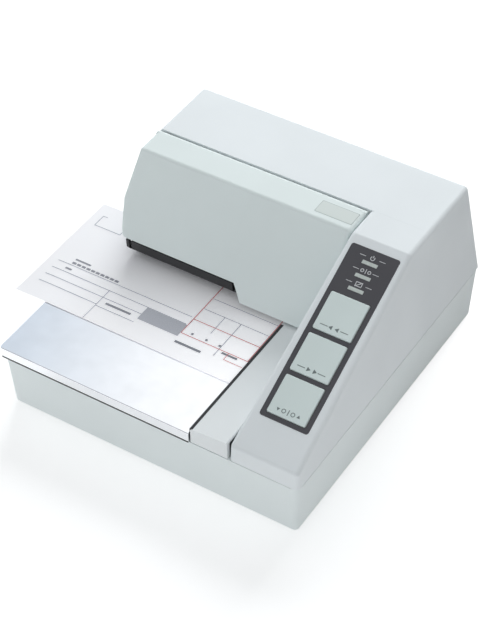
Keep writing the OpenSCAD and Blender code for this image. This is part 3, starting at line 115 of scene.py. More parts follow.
def add(tree, kind, **settings):
    """Adds a shader node; a setting is one of its properties or the value of one of its sockets."""
    node = tree.nodes.new("ShaderNode" + kind)
    for key, value in settings.items():
        if hasattr(node, key):
            setattr(node, key, value)
        else:
            node.inputs[key.replace("_", " ")].default_value = value
    return node

def join(tree, source, target):
    tree.links.new(source, target)

print("white as the shader sees it:", [round(c, 3) for c in linear(255, 255, 255)])

# %% [markdown]
# ### Numbers that change from place to place
# What changes over a surface or over the sky is a number that one node hands to the next. The helpers
# below reckon with two such numbers, carry one from its own range over to another, turn it into a
# colour by a ramp, and choose between two shaders by it.

# %% Helpers for changing numbers
def reckon(tree, operation, first, second):
    """A sum, product or the like of two outputs."""
    node = add(tree, "Math", operation=operation)
    join(tree, first, node.inputs[0])
    join(tree, second, node.inputs[1])
    return node.outputs[0]

def spread(tree, value, source, target, **settings):
    """Carries a value from one range over to another."""
    node = add(tree, "MapRange", **settings)
    for name, number in zip(("From Min", "From Max", "To Min", "To Max"), (*source, *target)):
        node.inputs[name].default_value = number
    join(tree, value, node.inputs["Value"])
    return node.outputs["Result"]

def ramp(tree, factor, stops):
    """A ramp of colours through stops, each a position and a colour."""
    node = add(tree, "ValToRGB")
    elements = node.color_ramp.elements
    while len(elements) < len(stops):
        elements.new(0.5)
    for element, (position, colour) in zip(elements, stops):
        element.position, element.color = position, colour
    join(tree, factor, node.inputs["Fac"])
    return node.outputs["Color"]

def choose(tree, factor, first, second):
    """The first shader where the factor is 0, the second where it is 1."""
    mix = add(tree, "MixShader")
    for socket, output in zip(mix.inputs, (factor, first, second)):
        join(tree, output, socket)
    return mix.outputs[0]

print("helpers for changing numbers ready")

# %% [markdown]
# ### The world
# The desk top and the room are one white sweep. The world lights everything softly from all round: it
# is brighter in front of the printer than behind it, where the big lamp stands, and a little brighter
# at the left. Only mirror-like surfaces, above all the polished table, see that the sweep ends at the
# left. Camera rays see plain white. A picture of a studio could do this too, but ramps over the
# direction need no file, and each side of the printer can be tuned by itself.

# %% The world
SKY_BY_DEPTH = ((0.0, 0.82), (0.25, 0.48), (0.45, 0.41), (1.0, 0.30))
SKY_LEFT, SKY_RIGHT = 1.15, 0.90
SWEEP_EDGE = ((0.254, linear(197, 207, 218)), (0.291, WHITE))
MIRROR_STRENGTH = 1.18

world = bpy.data.worlds.new("studio")
bpy.context.scene.world = world
world.use_nodes = True
room = world.node_tree
room.nodes.clear()
ray = add(room, "LightPath")
direction = add(room, "SeparateXYZ")
join(room, add(room, "TexCoord").outputs["Generated"], direction.inputs[0])
across, along = (spread(room, direction.outputs[side], (-1, 1), (0, 1)) for side in "XY")
front_to_back = ramp(room, along, [(depth, (grey, grey, grey, 1)) for depth, grey in SKY_BY_DEPTH])
left_to_right = spread(room, across, (0, 1), (SKY_LEFT, SKY_RIGHT))
soft = add(room, "Background", Color=linear(246, 249, 251))
join(room, reckon(room, "MULTIPLY", front_to_back, left_to_right), soft.inputs["Strength"])
mirrored = add(room, "Background", Strength=MIRROR_STRENGTH)
join(room, ramp(room, across, SWEEP_EDGE), mirrored.inputs["Color"])
white = add(room, "Background", Color=WHITE, Strength=1.0)
indirect = choose(room, ray.outputs["Is Glossy Ray"], soft.outputs[0], mirrored.outputs[0])
direct = reckon(room, "MAXIMUM", ray.outputs["Is Camera Ray"], ray.outputs["Is Transmission Ray"])
sky = choose(room, direct, indirect, white.outputs[0])
join(room, sky, add(room, "OutputWorld").inputs["Surface"])
print("world nodes:", len(room.nodes))

# %% [markdown]
# ### The floor
# Under the lamps alone, a floor looks grey beside the white sweep. So this one is matt and glows a
# little: it comes out as white as the sweep, keeps the printer's shadow and throws light up at its
# front. Towards the back it turns darker and its bounce fades, because the lamp stands there.

# %% Floor
def blend(tree, factor, low, high):
    """A number between two, by a factor; each may be a number or the output of a node."""
    mix = add(tree, "Mix")
    join(tree, factor, mix.inputs["Factor"])
    for socket, value in ((mix.inputs["A"], low), (mix.inputs["B"], high)):
        if isinstance(value, float):
            socket.default_value = value
        else:
            join(tree, value, socket)
    return mix.outputs["Result"]

FLOOR_SIZE, FLOOR_GAP = 6, 0.00005
FADES_AT, FULL_AT = 0.16, -0.12
SHADE_BEHIND, SHADE_IN_FRONT = 0.35, 0.87
BOUNCE_BEHIND, BOUNCE_IN_FRONT = 0.0, 0.25
SEEN_BEHIND, SEEN_IN_FRONT = 0.88, 0.43

floor_mesh = bpy.data.meshes.new("floor")
floor = bpy.data.objects.new("floor", floor_mesh)
bpy.context.scene.collection.objects.link(floor)
bm = bmesh.new()
bmesh.ops.create_grid(bm, x_segments=1, y_segments=1, size=FLOOR_SIZE,
                      matrix=Matrix.Translation((0, 0, cad_box[0][2] - FLOOR_GAP)))
bm.to_mesh(floor_mesh)
bm.free()

floor_white = bpy.data.materials.new("floor_white")
floor_white.use_nodes = True
tree = floor_white.node_tree
tree.nodes.clear()
where = add(tree, "SeparateXYZ")
join(tree, add(tree, "TexCoord").outputs["Object"], where.inputs[0])
in_front = spread(tree, where.outputs["Y"], (FADES_AT, FULL_AT), (0, 1), interpolation_type="SMOOTHSTEP")
ray = add(tree, "LightPath")
seen = reckon(tree, "MAXIMUM", ray.outputs["Is Camera Ray"], ray.outputs["Is Glossy Ray"])
matt = add(tree, "BsdfDiffuse")
join(tree, blend(tree, in_front, SHADE_BEHIND, SHADE_IN_FRONT), matt.inputs["Color"])
glow = add(tree, "Emission", Color=WHITE)
bounced = blend(tree, in_front, BOUNCE_BEHIND, BOUNCE_IN_FRONT)
looked_at = blend(tree, in_front, SEEN_BEHIND, SEEN_IN_FRONT)
join(tree, blend(tree, seen, bounced, looked_at), glow.inputs["Strength"])
both = add(tree, "AddShader")
join(tree, matt.outputs[0], both.inputs[0])
join(tree, glow.outputs[0], both.inputs[1])
join(tree, both.outputs[0], add(tree, "OutputMaterial").inputs["Surface"])
floor_mesh.materials.append(floor_white)
print("floor lies at", round(cad_box[0][2] / MM, 2), "mm")

# %% [markdown]
# ### The lamps
# A big soft box stands behind the printer and makes the tops the brightest faces. A weaker one hangs
# above. A sun lamp would be simpler, but its shadows have hard edges. The big box stays out of mirror
# images, or its own edge would cross the polished table.

# %% Lamps
LAMPS_FACE = Vector((0, 0, 0.04))

def lamp(name, spot, size, watts, tint):
    """A square soft box that faces the printer."""
    light = bpy.data.lights.new(name, "AREA")
    light.size, light.energy, light.color = size, watts, tint
    box = bpy.data.objects.new(name, light)
    bpy.context.scene.collection.objects.link(box)
    box.location = spot
    box.rotation_euler = (LAMPS_FACE - Vector(spot)).to_track_quat("-Z", "Y").to_euler()
    return box

back_soft_box = lamp("back_soft_box", (-0.35, 1.30, 0.97), 1.1, 22.5, (0.975, 0.99, 1.0))
back_soft_box.visible_glossy = False
lamp("top_fill", (0.2, -0.1, 1.7), 1.4, 2.2, (0.97, 0.985, 1.0))

# %% [markdown]
# ## Finishes
# A moulded case is never one flat colour: the mould is spark-eroded, so it has a grain of half a
# millimetre, and the gloss drifts a little from place to place. A picture of plastic would repeat
# itself and need every part unwrapped. So each finish below starts from one colour and gets its
# mottle, its roughness and its bump from noise on the part's own coordinates.

# %% Building blocks of a finish
def start(name):
    """A new material with one shader."""
    material = bpy.data.materials.new(name)
    material.use_nodes = True
    tree = material.node_tree
    tree.nodes.clear()
    shader = add(tree, "BsdfPrincipled")
    join(tree, shader.outputs[0], add(tree, "OutputMaterial").inputs["Surface"])
    return material, tree, shader

def place(tree, stretch=(1, 1, 1)):
    """Coordinates on the part, in metres, stretched for a pattern."""
    mapping = add(tree, "Mapping", Scale=stretch)
    join(tree, add(tree, "TexCoord").outputs["Object"], mapping.inputs["Vector"])
    return mapping.outputs[0]

def cloud(tree, where, per_metre, low=0, high=1, detail=2.0):
    """Noise with so many features per metre, spread between two values."""
    texture = add(tree, "TexNoise", Scale=per_metre, Detail=detail)
    join(tree, where, texture.inputs["Vector"])
    return spread(tree, texture.outputs["Fac"], (0.3, 0.7), (low, high))

def shade_of(tree, factor, dark, light):
    """A colour between two, by a factor."""
    mix = add(tree, "Mix", data_type="RGBA")
    join(tree, factor, mix.inputs["Factor"])
    mix.inputs[6].default_value, mix.inputs[7].default_value = dark, light
    return mix.outputs[2]

def paint(tree, shader, factor, colour, darker, lighter):
    """Lets the shader's colour drift between a darker and a lighter shade of one colour."""
    dark, light = (tuple(min(1.0, c * by) for c in linear(*colour)[:3]) + (1.0,)
                   for by in (darker, lighter))
    join(tree, shade_of(tree, factor, dark, light), shader.inputs["Base Color"])

def relief(tree, shader, height, depth, strength):
    """Turns a height from 0 to 1 into a bump so many metres deep."""
    bump = add(tree, "Bump", Strength=strength, Distance=depth)
    join(tree, height, bump.inputs["Height"])
    join(tree, bump.outputs[0], shader.inputs["Normal"])

print("building blocks ready")

# %% [markdown]
# ### Moulded plastics
# The printer's shells are a cool, faintly green white. The keys are greener and darker than the case;
# the ribbon cover is the case's plastic, a little darker and greener as painted shade for its front.
# The cassette, the sockets and the sensors are black or dark grey. A finish is a colour, a roughness
# and how far the colour drifts; some have a grain and a depth of their own.

# %% Moulded plastic
def moulded(name, colour, rough, drift=0.02, grain=0.00045, depth=0.00004):
    material, tree, shader = start(name)
    where = place(tree)
    paint(tree, shader, cloud(tree, where, 22, detail=3.0), colour, 1 - drift, 1 + drift)
    join(tree, cloud(tree, where, 60, rough - 0.04, rough + 0.05), shader.inputs["Roughness"])
    relief(tree, shader, cloud(tree, where, 1 / grain, detail=3.0), depth, 0.35)
    return material

PLASTICS = {
    "lower_case_plastic": ((233, 240, 240), 0.52),
    "upper_case_plastic": ((234, 239, 241), 0.50),
    # painted shade: the case's colour, a little darker and greener for the cover's shaded front
    "cover_plastic": ((228, 237, 236), 0.50),
    "guide_plastic": ((236, 240, 241), 0.50),
    "hatch_plastic": ((216, 224, 224), 0.52),
    "key_plastic": ((220, 232, 230), 0.42, 0.03, 0.0006, 0.00003),
    "panel_dark": ((58, 57, 62), 0.46, 0.10, 0.0003, 0.00003),
    "guide_black": ((30, 31, 34), 0.45, 0.15),
    "socket_black": ((26, 27, 30), 0.38, 0.15),
    "carriage_black": ((38, 40, 44), 0.40, 0.12),
    "cassette_black": ((32, 34, 38), 0.48, 0.12, 0.0004, 0.00006),
    "chip_black": ((34, 34, 36), 0.55, 0.12, 0.0003, 0.00002),
    "coil_black": ((40, 41, 45), 0.36, 0.12),
    "switch_red": ((150, 36, 32), 0.38, 0.06),
    "gear_plastic": ((226, 219, 196), 0.40, 0.03),
    "knob_blue": ((48, 92, 150), 0.36, 0.06),
}
finish = {name: moulded(name, *look) for name, look in PLASTICS.items()}
print("moulded finishes:", len(PLASTICS))

# %% [markdown]
# ### Polished and brushed metal
# The paper table is a stainless plate with a fine polish: sharp enough to mirror the sweep, with
# hair lines along its width that only show up close. Frames are zinc-plated sheet with the pale
# cloudy spangle of the bath, and turned parts carry rings round their axis. A shader can smear its
# glints in one direction, but finely stretched noise shows real lines close up. A finish is a colour,
# a roughness, the stretch of its lines and how much they roughen it; then come depth and spangle.

# %% Metal
def metal(name, colour, rough, stretch, lines, depth=0.00001, spangle=0.0):
    material, tree, shader = start(name)
    hair = cloud(tree, place(tree, stretch), 6, detail=4.0)
    patches = cloud(tree, place(tree), 90, detail=1.0)
    paint(tree, shader, patches, colour, 0.97 - spangle, 1.02)
    join(tree, spread(tree, hair, (0, 1), (rough, rough + lines)), shader.inputs["Roughness"])
    relief(tree, shader, hair, depth, 0.25)
    shader.inputs["Metallic"].default_value = 1.0
    return material

METALS = {
    "table_steel": ((240, 242, 245), 0.10, (3, 300, 300), 0.05, 0.000004),
    "frame_steel": ((190, 194, 198), 0.32, (60, 60, 60), 0.14, 0.00002, 0.10),
    "arm_steel": ((198, 202, 206), 0.28, (40, 300, 40), 0.12),
    "connector_steel": ((206, 208, 212), 0.24, (60, 60, 60), 0.10, 0.00001, 0.05),
    "screw_steel": ((196, 198, 203), 0.26, (200, 200, 200), 0.14),
    "shaft_steel": ((214, 216, 220), 0.14, (600, 20, 20), 0.08),
    "motor_can": ((176, 180, 186), 0.30, (20, 20, 500), 0.14),
    "head_metal": ((92, 95, 102), 0.42, (150, 150, 150), 0.12, 0.00004, 0.10),
}
finish.update({name: metal(name, *look) for name, look in METALS.items()})
print("metal finishes:", len(METALS))

# %% [markdown]
# ### Rubber, fabric, board and lens
# Rubber is dark and dull with dust in its pores, and the belt has ribs. The ribbon is a fine nylon
# weave soaked in ink: waves across both directions make its threads, which as real threads would be
# far too many faces. The circuit board shows its copper tracks through green lacquer, drawn here by a
# pattern of bricks, and the lamp lenses are milky.

# %% Rubber, weave and the small materials
def bands(tree, where, axis, pitch):
    """Ridges that follow each other along an axis, so far apart."""
    wave = add(tree, "TexWave", wave_type="BANDS", bands_direction=axis, Scale=1 / pitch / math.pi)
    join(tree, where, wave.inputs["Vector"])
    return wave.outputs["Fac"]

def rubber(name, colour, rough, ribs=0.0):
    material, tree, shader = start(name)
    where = place(tree)
    paint(tree, shader, cloud(tree, where, 300, detail=3.0), colour, 0.8, 1.35)
    join(tree, cloud(tree, where, 120, rough - 0.05, rough + 0.08), shader.inputs["Roughness"])
    if ribs:
        relief(tree, shader, bands(tree, where, "X", ribs), ribs * 0.4, 0.8)
    else:
        relief(tree, shader, cloud(tree, where, 2500), 0.00005, 0.5)
    return material

def woven(name, colour, pitch):
    material, tree, shader = start(name)
    where = place(tree)
    threads = reckon(tree, "MAXIMUM", *(bands(tree, where, axis, pitch) for axis in "XY"))
    paint(tree, shader, threads, colour, 0.6, 1.4)
    relief(tree, shader, threads, pitch * 0.3, 0.7)
    shader.inputs["Roughness"].default_value = 0.75
    shader.inputs["Sheen Weight"].default_value = 0.25
    return material

def circuit(name, lacquer, copper):
    material, tree, shader = start(name)
    tracks = add(tree, "TexBrick", Scale=160.0, Mortar_Size=0.06)
    join(tree, place(tree), tracks.inputs["Vector"])
    pattern = tracks.outputs["Fac"]
    shade = shade_of(tree, pattern, linear(*lacquer), linear(*copper))
    join(tree, shade, shader.inputs["Base Color"])
    relief(tree, shader, pattern, 0.00003, 0.4)
    shader.inputs["Roughness"].default_value = 0.32
    return material

def milky(name, colour):
    material, tree, shader = start(name)
    where = place(tree)
    paint(tree, shader, cloud(tree, where, 400), colour, 0.92, 1.05)
    join(tree, cloud(tree, where, 500, 0.16, 0.26), shader.inputs["Roughness"])
    shader.inputs["Coat Weight"].default_value = 0.4
    return material

RUBBERS = {
    "foot_rubber": ((44, 44, 47), 0.80),
    "roller_rubber": ((40, 40, 43), 0.62),
    "platen_grey": ((104, 106, 110), 0.55),
    "belt_rubber": ((34, 34, 36), 0.60, 0.002),
}
finish.update({name: rubber(name, *look) for name, look in RUBBERS.items()})
finish["ribbon_fabric"] = woven("ribbon_fabric", (48, 38, 66), 0.0004)
finish["board_green"] = circuit("board_green", (24, 88, 52), (62, 128, 78))
finish["lens_clear"] = milky("lens_clear", (188, 196, 192))
print("finishes so far:", len(finish))

# %% [markdown]
# ### Form paper
# A cheque form is thin and smooth. Fibres give it a faint mottle, and a soft tint drifts across it as
# on real security paper. A weak glow is painted light that lifts the sheet out of the shade of the
# printer's head; it grows to the front and to the right, and is gone under the cover and beyond the
# table's edge, which paints shade there.

# %% Paper and inks
# A stretch of the sheet in metres, and the strength of the painted light at its two ends
PAINTED_LIGHT_ALONG_Y = ((-0.032, 0.010), (0.20, 0.0))
PAINTED_LIGHT_ALONG_X = ((-0.100, 0.020), (0.0, 1.7))

def paper(name):
    material, tree, shader = start(name)
    where = place(tree)
    fibres = cloud(tree, where, 1800, detail=4.0)
    tint = cloud(tree, where, 14, detail=1.0)
    speckle = add(tree, "Mix", data_type="RGBA", blend_type="MULTIPLY")
    speckle.inputs["Factor"].default_value = 0.10
    join(tree, shade_of(tree, tint, linear(248, 248, 251), linear(252, 251, 252)), speckle.inputs[6])
    join(tree, shade_of(tree, fibres, (0.92, 0.92, 0.93, 1), WHITE), speckle.inputs[7])
    join(tree, speckle.outputs[2], shader.inputs["Base Color"])
    join(tree, speckle.outputs[2], shader.inputs["Emission Color"])
    join(tree, cloud(tree, where, 900, 0.6, 0.75), shader.inputs["Roughness"])
    # The glow is painted light on the sheet; where it fades under the cover, that is painted shade
    spot = add(tree, "SeparateXYZ")
    join(tree, where, spot.inputs[0])
    painted_light_to_front = spread(tree, spot.outputs["Y"], *PAINTED_LIGHT_ALONG_Y)
    painted_light_to_right = spread(tree, spot.outputs["X"], *PAINTED_LIGHT_ALONG_X)
    glow = reckon(tree, "MULTIPLY", painted_light_to_front, painted_light_to_right)
    join(tree, glow, shader.inputs["Emission Strength"])
    relief(tree, shader, fibres, 0.00002, 0.3)
    return material

def ink(name, colour, broken=0.15):
    material, tree, shader = start(name)
    paint(tree, shader, cloud(tree, place(tree), 2600, detail=3.0), colour, 1 - broken, 1 + broken)
    shader.inputs["Roughness"].default_value = 0.62
    return material

finish["slip_paper"] = paper("slip_paper")
grey_ink = ink("grey_ink", (196, 198, 206))
rule_ink = ink("rule_ink", (168, 172, 184))
dark_ink = ink("dark_ink", (146, 148, 156))
red_ink = ink("red_ink", (222, 150, 152))
panel_ink = ink("panel_ink", (206, 208, 210), 0.06)
key_ink = ink("key_ink", (112, 122, 122), 0.08)
label_film = moulded("label_film", (212, 220, 217), 0.36, 0.015, 0.0008, 0.00001)
rim_film = moulded("rim_film", (170, 180, 178), 0.40, 0.015, 0.0008, 0.00001)
print("paper, six inks and two films ready")

# %% [markdown]
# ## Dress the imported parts
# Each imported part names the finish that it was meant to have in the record. Its own material slots
# take the procedural finish of that name, and its shape stays as it is. Going by that name is surer
# than a list of parts kept here, because a part that is added later finds its finish by itself.

# %% Give every part its finish
slot_of = {part["node"]: part["material_slot"] for part in frame["record"]["subparts"]}
bare = []
for name, part in nodes.items():
    wanted = finish.get(slot_of.get(name))
    if wanted is None:
        bare.append(name)
        continue
    for material_slot in part.material_slots:
        material_slot.material = wanted
print("dressed:", len(nodes) - len(bare), "without a finish:", bare)

# %% [markdown]
# ## New pieces
# Every piece below is built in the same way: a mesh is cut or spun in place, gets one material and rides
# on a body of the printer. The mesh holds its own place and the object stays at the origin, so a
# pattern on its coordinates never slides.

# %% Helpers for new pieces
X_AXIS, Y_AXIS, Z_AXIS = (Vector(axis) for axis in ((1, 0, 0), (0, 1, 0), (0, 0, 1)))
AS_IT_STANDS = Matrix.Identity(4)

def keep(bm, name, body, material):
    """Makes the finished bmesh a piece that rides on a body."""
    bmesh.ops.remove_doubles(bm, verts=bm.verts, dist=1e-7)
    bmesh.ops.recalc_face_normals(bm, faces=bm.faces)
    mesh = bpy.data.meshes.new(name)
    bm.to_mesh(mesh)
    bm.free()
    piece = bpy.data.objects.new(name, mesh)
    bpy.context.scene.collection.objects.link(piece)
    mesh.materials.append(material)
    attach(piece, body)
    return piece

def bar(bm, matrix, centre, size):
    """A bar of a size, centred on a point of the space that the matrix gives."""
    lie = matrix @ Matrix.Translation(centre) @ Matrix.Diagonal((*size, 1))
    return bmesh.ops.create_cube(bm, size=1, matrix=lie)["verts"]

def edges_along(edges, axis):
    """Those of the edges that run along an axis."""
    return [e for e in edges if abs((e.verts[0].co - e.verts[1].co).normalized().dot(axis)) > 0.99]

print("helpers for new pieces ready")

# %% [markdown]
# ## The form on the table
# The slip lies on the polished plate and sticks out over its left edge, where it sags a little under
# its own weight; its front edge has a faint curl from being handled. A cloth simulation could find
# that shape, but it takes long and is hard to steer. A grid bent by a height rule gives both, and the
# lines printed on the sheet are bent by the same rule, so that they never leave it.

# %% The slip
SHEET, INK = 0.1 * MM, 0.02 * MM
SAG, CURL, RIPPLE = 1.6, 2.2, 0.00012
EDGE_ROUNDING, CURL_WIDTH, STILL_WIDTH = 1 * MM, 12 * MM, 30 * MM

slip_low, slip_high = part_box("slip_form")
table_low, table_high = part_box("paper_table")
slip_top = slip_high.z

def lift(x, y):
    """How far the sheet is from flat: it hangs beyond the table and curls up at its front edge."""
    over = max(0.0, table_low.x - EDGE_ROUNDING - x)
    curl = max(0.0, slip_low.y + CURL_WIDTH - y)
    loose = 1 - math.exp(-((y - slip_high.y) / STILL_WIDTH) ** 2)
    ripple = RIPPLE * (1 + noise.noise(Vector((x * 30, y * 24, 0)))) * loose
    return -SAG * over * over + CURL * curl * curl + ripple

bm = bmesh.new()
middle, extent = (slip_low + slip_high) / 2, slip_high - slip_low
bmesh.ops.create_grid(bm, x_segments=68, y_segments=40, size=0.5,
                      matrix=Matrix.Translation((middle.x, middle.y, slip_top - SHEET))
                      @ Matrix.Diagonal((extent.x, extent.y, 1, 1)))
for vertex in bm.verts:
    vertex.co.z += lift(vertex.co.x, vertex.co.y)
bmesh.ops.solidify(bm, geom=bm.faces[:], thickness=SHEET)
slip = keep(bm, "slip_sheet", "slip", finish["slip_paper"])
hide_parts("slip_form")
print("slip sheet:", len(slip.data.polygons), "faces")

# %% [markdown]
# The form carries ruled boxes, a shaded field and a red grid for the amount. They could be drawn in
# the paper's material, but strips of their own stay sharp at any distance. Each is two hundredths of a
# millimetre thick, cut from a cube and divided along its length so that it bends.

# %% Printed rules
BEND_EVERY = 4 * MM
THIN = 0.35

def rules(name, material, strips):
    """Strips of ink on the sheet, each from corner to corner, in millimetres."""
    bm = bmesh.new()
    for x0, y0, x1, y1 in strips:
        size = (abs(x1 - x0) * MM, abs(y1 - y0) * MM, INK)
        centre = ((x0 + x1) / 2 * MM, (y0 + y1) / 2 * MM, slip_top + INK * 0.6)
        corners = bar(bm, AS_IT_STANDS, centre, size)
        cuts = round(max(size) / BEND_EVERY) - 1
        if cuts > 0:
            own = [e for e in bm.edges if e.verts[0] in corners and e.verts[1] in corners]
            long_edges = edges_along(own, X_AXIS if size[0] >= size[1] else Y_AXIS)
            bmesh.ops.subdivide_edges(bm, edges=long_edges, cuts=cuts, use_grid_fill=False)
    for vertex in bm.verts:
        vertex.co.z += lift(vertex.co.x, vertex.co.y)
    return keep(bm, name, "slip", material)

def level(x0, x1, y, width=THIN):
    return (x0, y - width / 2, x1, y + width / 2)

def upright(x, y0, y1, width=THIN):
    return (x - width / 2, y0, x + width / 2, y1)

writing_lines = [level(-104, -17, y) for y in (-25.6, -31.6)]
writing_lines += [level(-104, -66, y) for y in (-37.6, -43.6)]
middle_box = [level(-66, -41.3, -44.6), upright(-66, -56, -31.6), level(-66, -41.3, -37.6)]
amount_box = [level(-15, 25, y) for y in (-8, -17)]
amount_box += [upright(8, -44, -17, 0.4), upright(-2, -31, -17)]
corner_box = [upright(-104, 8, 16.5), upright(-87, 8, 16.5), level(-104, -87, 8),
              level(-104, -101, 16.5), level(-90, -87, 16.5)]
grey_rules = rules("grey_rules", rule_ink, writing_lines + middle_box + amount_box + corner_box)

number_row = [(-96 + i * 3.1, -24.4, -93.6 + i * 3.1, -22.9) for i in range(10)]
captions = [(-96, -21.2, -86, -20.1), (-97, -29.4, -93, -28.2), (-62, -41.4, -46, -40.0),
            (10.5, -40.6, 20, -39.2), (-15, -46, 1, -44.4)]
dots = [(x - 0.7, -36.9, x + 0.7, -35.5) for x in (-9.9, -1.2, 7.0)]
header = rules("header_strip", dark_ink, number_row + captions + dots)

shaded = rules("shaded_field", grey_ink, [(-41.3, -41.6, -15.8, -31.9)])
red_rules = rules("red_grid", red_ink, [
    upright(-15.6, -31, 3.5, 0.6), level(-15.6, 25.6, -26.4, 0.5), level(-15.6, 25.6, -38.4, 0.5),
    upright(25.4, -38.4, 3.5, 0.6), upright(-15.6, -38.4, -26.4, 0.5),
    level(14, 25.4, -43.6, 0.4), upright(14, -43.6, -38.4, 0.4)])
printed = (grey_rules, header, shaded, red_rules)
print("printed strips:", sum(len(o.data.polygons) for o in printed), "faces")

# %% [markdown]
# ## The painted shadow beside the side guide
# A black line runs between the polished plate and the side guide, where the slot between them lies in
# shadow. A black strip over the guide's left edge paints that shadow. Two plates could make it, but one
# profile across the strip gives both legs and the slanting corner between them at once. It is extruded
# along the guide and ends short of the slip's own rear edge.

# %% Edge strip of painted shadow
SHADOW_STRIP_ABOVE_TABLE, SHADOW_STRIP_START, SHADOW_STRIP_LENGTH = 2.7 * MM, 0.3 * MM, 86.2 * MM
SHADOW_STRIP_PROFILE = ((-0.50, -2.20), (-0.02, -2.20), (-0.02, -0.81), (0.79, 0.02),
                 (1.25, 0.02), (1.25, 0.15), (-0.20, 0.15), (-0.50, -0.15))

guide_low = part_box("side_guide")[0]
first = Vector((guide_low.x, guide_low.y + SHADOW_STRIP_START, table_high.z + SHADOW_STRIP_ABOVE_TABLE))
bm = bmesh.new()
profile = bm.faces.new([bm.verts.new(first + Vector((x, 0, z)) * MM) for x, z in SHADOW_STRIP_PROFILE])
grown = bmesh.ops.extrude_face_region(bm, geom=[profile])["geom"]
far_end = [v for v in grown if isinstance(v, bmesh.types.BMVert)]
bmesh.ops.translate(bm, vec=Y_AXIS * SHADOW_STRIP_LENGTH, verts=far_end)
# A black strip that paints the shadow of the slot beside the guide
keep(bm, "guide_slot_shadow", "base", finish["guide_black"])
print("edge strip starts at", [round(v / MM, 2) for v in first])

# %% [markdown]
# ## The two lines along the table's front
# The folded lip of the plate stops half a millimetre above the rim of the base. A black bar paints the
# shadow in that gap, and higher up a fine grey bar is a painted reflection: the dark band where the
# plate starts to bend over. Only their fronts are ever seen, so two long bars are enough.

# %% Painted shadow under the lip and painted reflection at the fold
# Painted shadow under the lip, and the painted reflection of the fold
PAINTED_LIP_LINES = (("lip_seal", finish["guide_black"], (-95.19, -94.6), (32.35, 33.5)),
             ("fold_line", dark_ink, (-95.15, -94.9), (38.86, 39.12)))
SHORT_OF_THE_LIP = 0.6 * MM

lip_length = table_high.x - table_low.x
for name, material, (front, rear), (foot, head) in PAINTED_LIP_LINES:
    bm = bmesh.new()
    bar(bm, AS_IT_STANDS,
        ((table_low.x + table_high.x) / 2, (front + rear) / 2 * MM, (foot + head) / 2 * MM),
        (lip_length - SHORT_OF_THE_LIP, (rear - front) * MM, (head - foot) * MM))
    keep(bm, name, "base", material)
print("lines along the lip:", round(lip_length / MM, 1), "mm long")

# %% [markdown]
# ## Pictograms on the panel and keys
# The panel film and the key caps are screen printed. Plain signs show what each is for: a power sign,
# a pair of rollers and a sheet above the three lamps, and arrows along the feed on the keys. Curves
# could be filled for them, but solid shapes need no conversion: bars come from cubes, triangles from
# three-sided cones, and rings and arcs are a small square spun round a centre. All places and sizes
# are in millimetres, across the slope and up it from its foot.

# %% Helpers for signs
SLOPE_FOOT, SLOPE_ANGLE = Vector((70, -94.5197, 44)) * MM, math.radians(25.99)
FULL_TURN, RING_STEPS = 2 * math.pi, 28
LINE, THICK = 0.4, 2 * INK
PANEL_TOP, KEY_TOP = 0.12, 0.92

slope = Matrix.Translation(SLOPE_FOOT) @ Matrix.Rotation(SLOPE_ANGLE, 4, "X")

def on_slope(x, y, height, turn=0.0):
    """A place on the slope, turned about the slope's normal."""
    return slope @ Matrix.Translation(Vector((x, y, height)) * MM) @ Matrix.Rotation(turn, 4, "Z")

def stroke(bm, x, y, height, width, length, turn=0.0):
    """A printed bar."""
    bar(bm, on_slope(x, y, height, turn), (0, 0, 0), (width * MM, length * MM, THICK))

def arrow(bm, x, y, height, size, turn):
    """A solid triangle that points up the slope, or turned."""
    bmesh.ops.create_cone(bm, cap_ends=True, segments=3, radius1=size / 2 * MM, radius2=size / 2 * MM,
                          depth=THICK, matrix=on_slope(x, y, height, turn + math.pi / 2))

def ring(bm, x, y, height, radius, turn=FULL_TURN, begin=0.0):
    """A flat ring, or an arc of one."""
    inner, outer = (radius - LINE / 2) * MM, (radius + LINE / 2) * MM
    centre = on_slope(x, y, height, begin)
    corners = [bm.verts.new(centre @ Vector((r, 0, z))) for r, z in
               ((inner, -INK), (outer, -INK), (outer, INK), (inner, INK))]
    face = bm.faces.new(corners)
    closed = turn >= FULL_TURN
    bmesh.ops.spin(bm, geom=[face] + face.edges[:] + corners, cent=centre.translation,
                   axis=(slope.to_3x3() @ Z_AXIS).normalized(), angle=turn,
                   steps=round(RING_STEPS * turn / FULL_TURN), use_merge=closed, use_duplicate=False)
    if closed:
        inside = [f for f in bm.faces if all(v in corners for v in f.verts)]
        bmesh.ops.delete(bm, geom=inside, context="FACES_ONLY")

print("slope rises by", round(math.degrees(SLOPE_ANGLE), 2), "degrees")

# %% [markdown]
# The panel has three signs, each above its lamp. A hair line on either side of each sign fills the row
# and leads the eye from the sign to the lamp's ends.

# %% Signs on the panel
PANEL_FOOT, FIRST_LAMP, LAMP_STEP, SIGN_ABOVE_LAMP = 20.4, 77.2, 7.65, 3.3

no_sheet, rollers, power = (PANEL_FOOT + FIRST_LAMP + i * LAMP_STEP + SIGN_ABOVE_LAMP for i in range(3))
bm = bmesh.new()
# Power: a broken ring with a stroke
ring(bm, 0, power, PANEL_TOP, 1.1, math.radians(280), math.radians(130))
stroke(bm, 0, power + 0.9, PANEL_TOP, LINE, 1.3)
# Open rollers: two rings apart, with a sheet between them
for side in (-1, 1):
    ring(bm, side * 2.0, rollers, PANEL_TOP, 0.8)
stroke(bm, 0, rollers, PANEL_TOP, LINE, 2.6)
# No sheet: an outline with a stroke through it
for side in (-1, 1):
    stroke(bm, 0, no_sheet + side * 1.1, PANEL_TOP, 3.4, LINE)
    stroke(bm, side * 1.7, no_sheet, PANEL_TOP, LINE, 2.6)
stroke(bm, 0, no_sheet, PANEL_TOP + INK / MM, 4.6, LINE, math.radians(38))
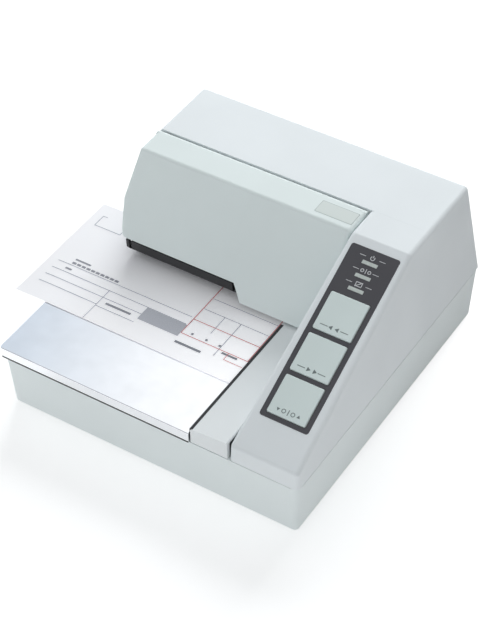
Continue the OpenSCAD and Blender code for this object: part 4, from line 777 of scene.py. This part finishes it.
# The hair lines
for row in (no_sheet, rollers, power):
    for side in (-1, 1):
        stroke(bm, side * 5.6, row, PANEL_TOP, 3.4, 0.3)
keep(bm, "panel_signs", "base", panel_ink)
print("panel signs stand at", [round(row, 2) for row in (no_sheet, rollers, power)], "mm")

# %% [markdown]
# Two keys carry a pair of arrows between two lines, one pair up the slope and one pair down it. The
# third key carries the sign of the open rollers between two arrows that point away from each other.

# %% Signs on the keys
KEY_MIDDLES = {"forward_key": 82.0, "reverse_key": 57.9, "release_key": 33.8}
SIGN_BELOW_MIDDLE = 7.4

for node, middle_of_key in KEY_MIDDLES.items():
    bm = bmesh.new()
    row = middle_of_key - SIGN_BELOW_MIDDLE
    for side in (-1, 1):
        if node == "release_key":
            ring(bm, side * 2.6, row, KEY_TOP, 1.0)
            arrow(bm, side * 5.8, row, KEY_TOP, 2.2, -side * math.pi / 2)
        else:
            stroke(bm, side * 5.8, row, KEY_TOP, 4.4, LINE)
            arrow(bm, side * 1.8, row, KEY_TOP, 2.8, 0.0 if node == "forward_key" else math.pi)
    if node == "release_key":
        stroke(bm, 0, row, KEY_TOP, 0.5, 3.0)
    keep(bm, node + "_sign", node + "_body", key_ink)
print("signs on", len(KEY_MIDDLES), "keys")

# %% [markdown]
# ## Bare labels
# The cover has a bare rectangle of film near its right end, with a darker rim, and the underside has
# a larger bare one. A filled curve would do, but a thin plate whose upright edges get a bevel is
# shorter to write, and its rim catches the light as real film does.

# %% Labels
def film(name, body, centre, sizes, radius, material):
    """A plate of film; its width, length, thickness and corner radius are in millimetres."""
    bm = bmesh.new()
    bar(bm, AS_IT_STANDS, centre, [size * MM for size in sizes])
    bmesh.ops.bevel(bm, geom=edges_along(bm.edges, Z_AXIS), offset=radius * MM, offset_type="OFFSET",
                    affect="EDGES", segments=4, profile=0.5, material=-1)
    keep(bm, name, body, material)

cover_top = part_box("ribbon_cover")[1].z
label_place = Vector((0.0393, 0.0270, cover_top))
rating_place = Vector((0.020, 0.030, 0.00001))
film("cover_label_rim", "cover", label_place, (21.9, 9.4, 0.06), 0.6, rim_film)
film("cover_label", "cover", label_place + Z_AXIS * 0.02 * MM, (21.3, 8.8, 0.1), 0.5,
     label_film)
film("rating_label", "base", rating_place, (60, 34, 0.1), 1.5, label_film)
print("labels placed at", round(cover_top / MM, 2), "mm and underneath")

# %% [markdown]
# ## Finish
# The picture is shown with the plain Standard view transform.

# %% Finish
bpy.context.scene.view_settings.view_transform = "Standard"
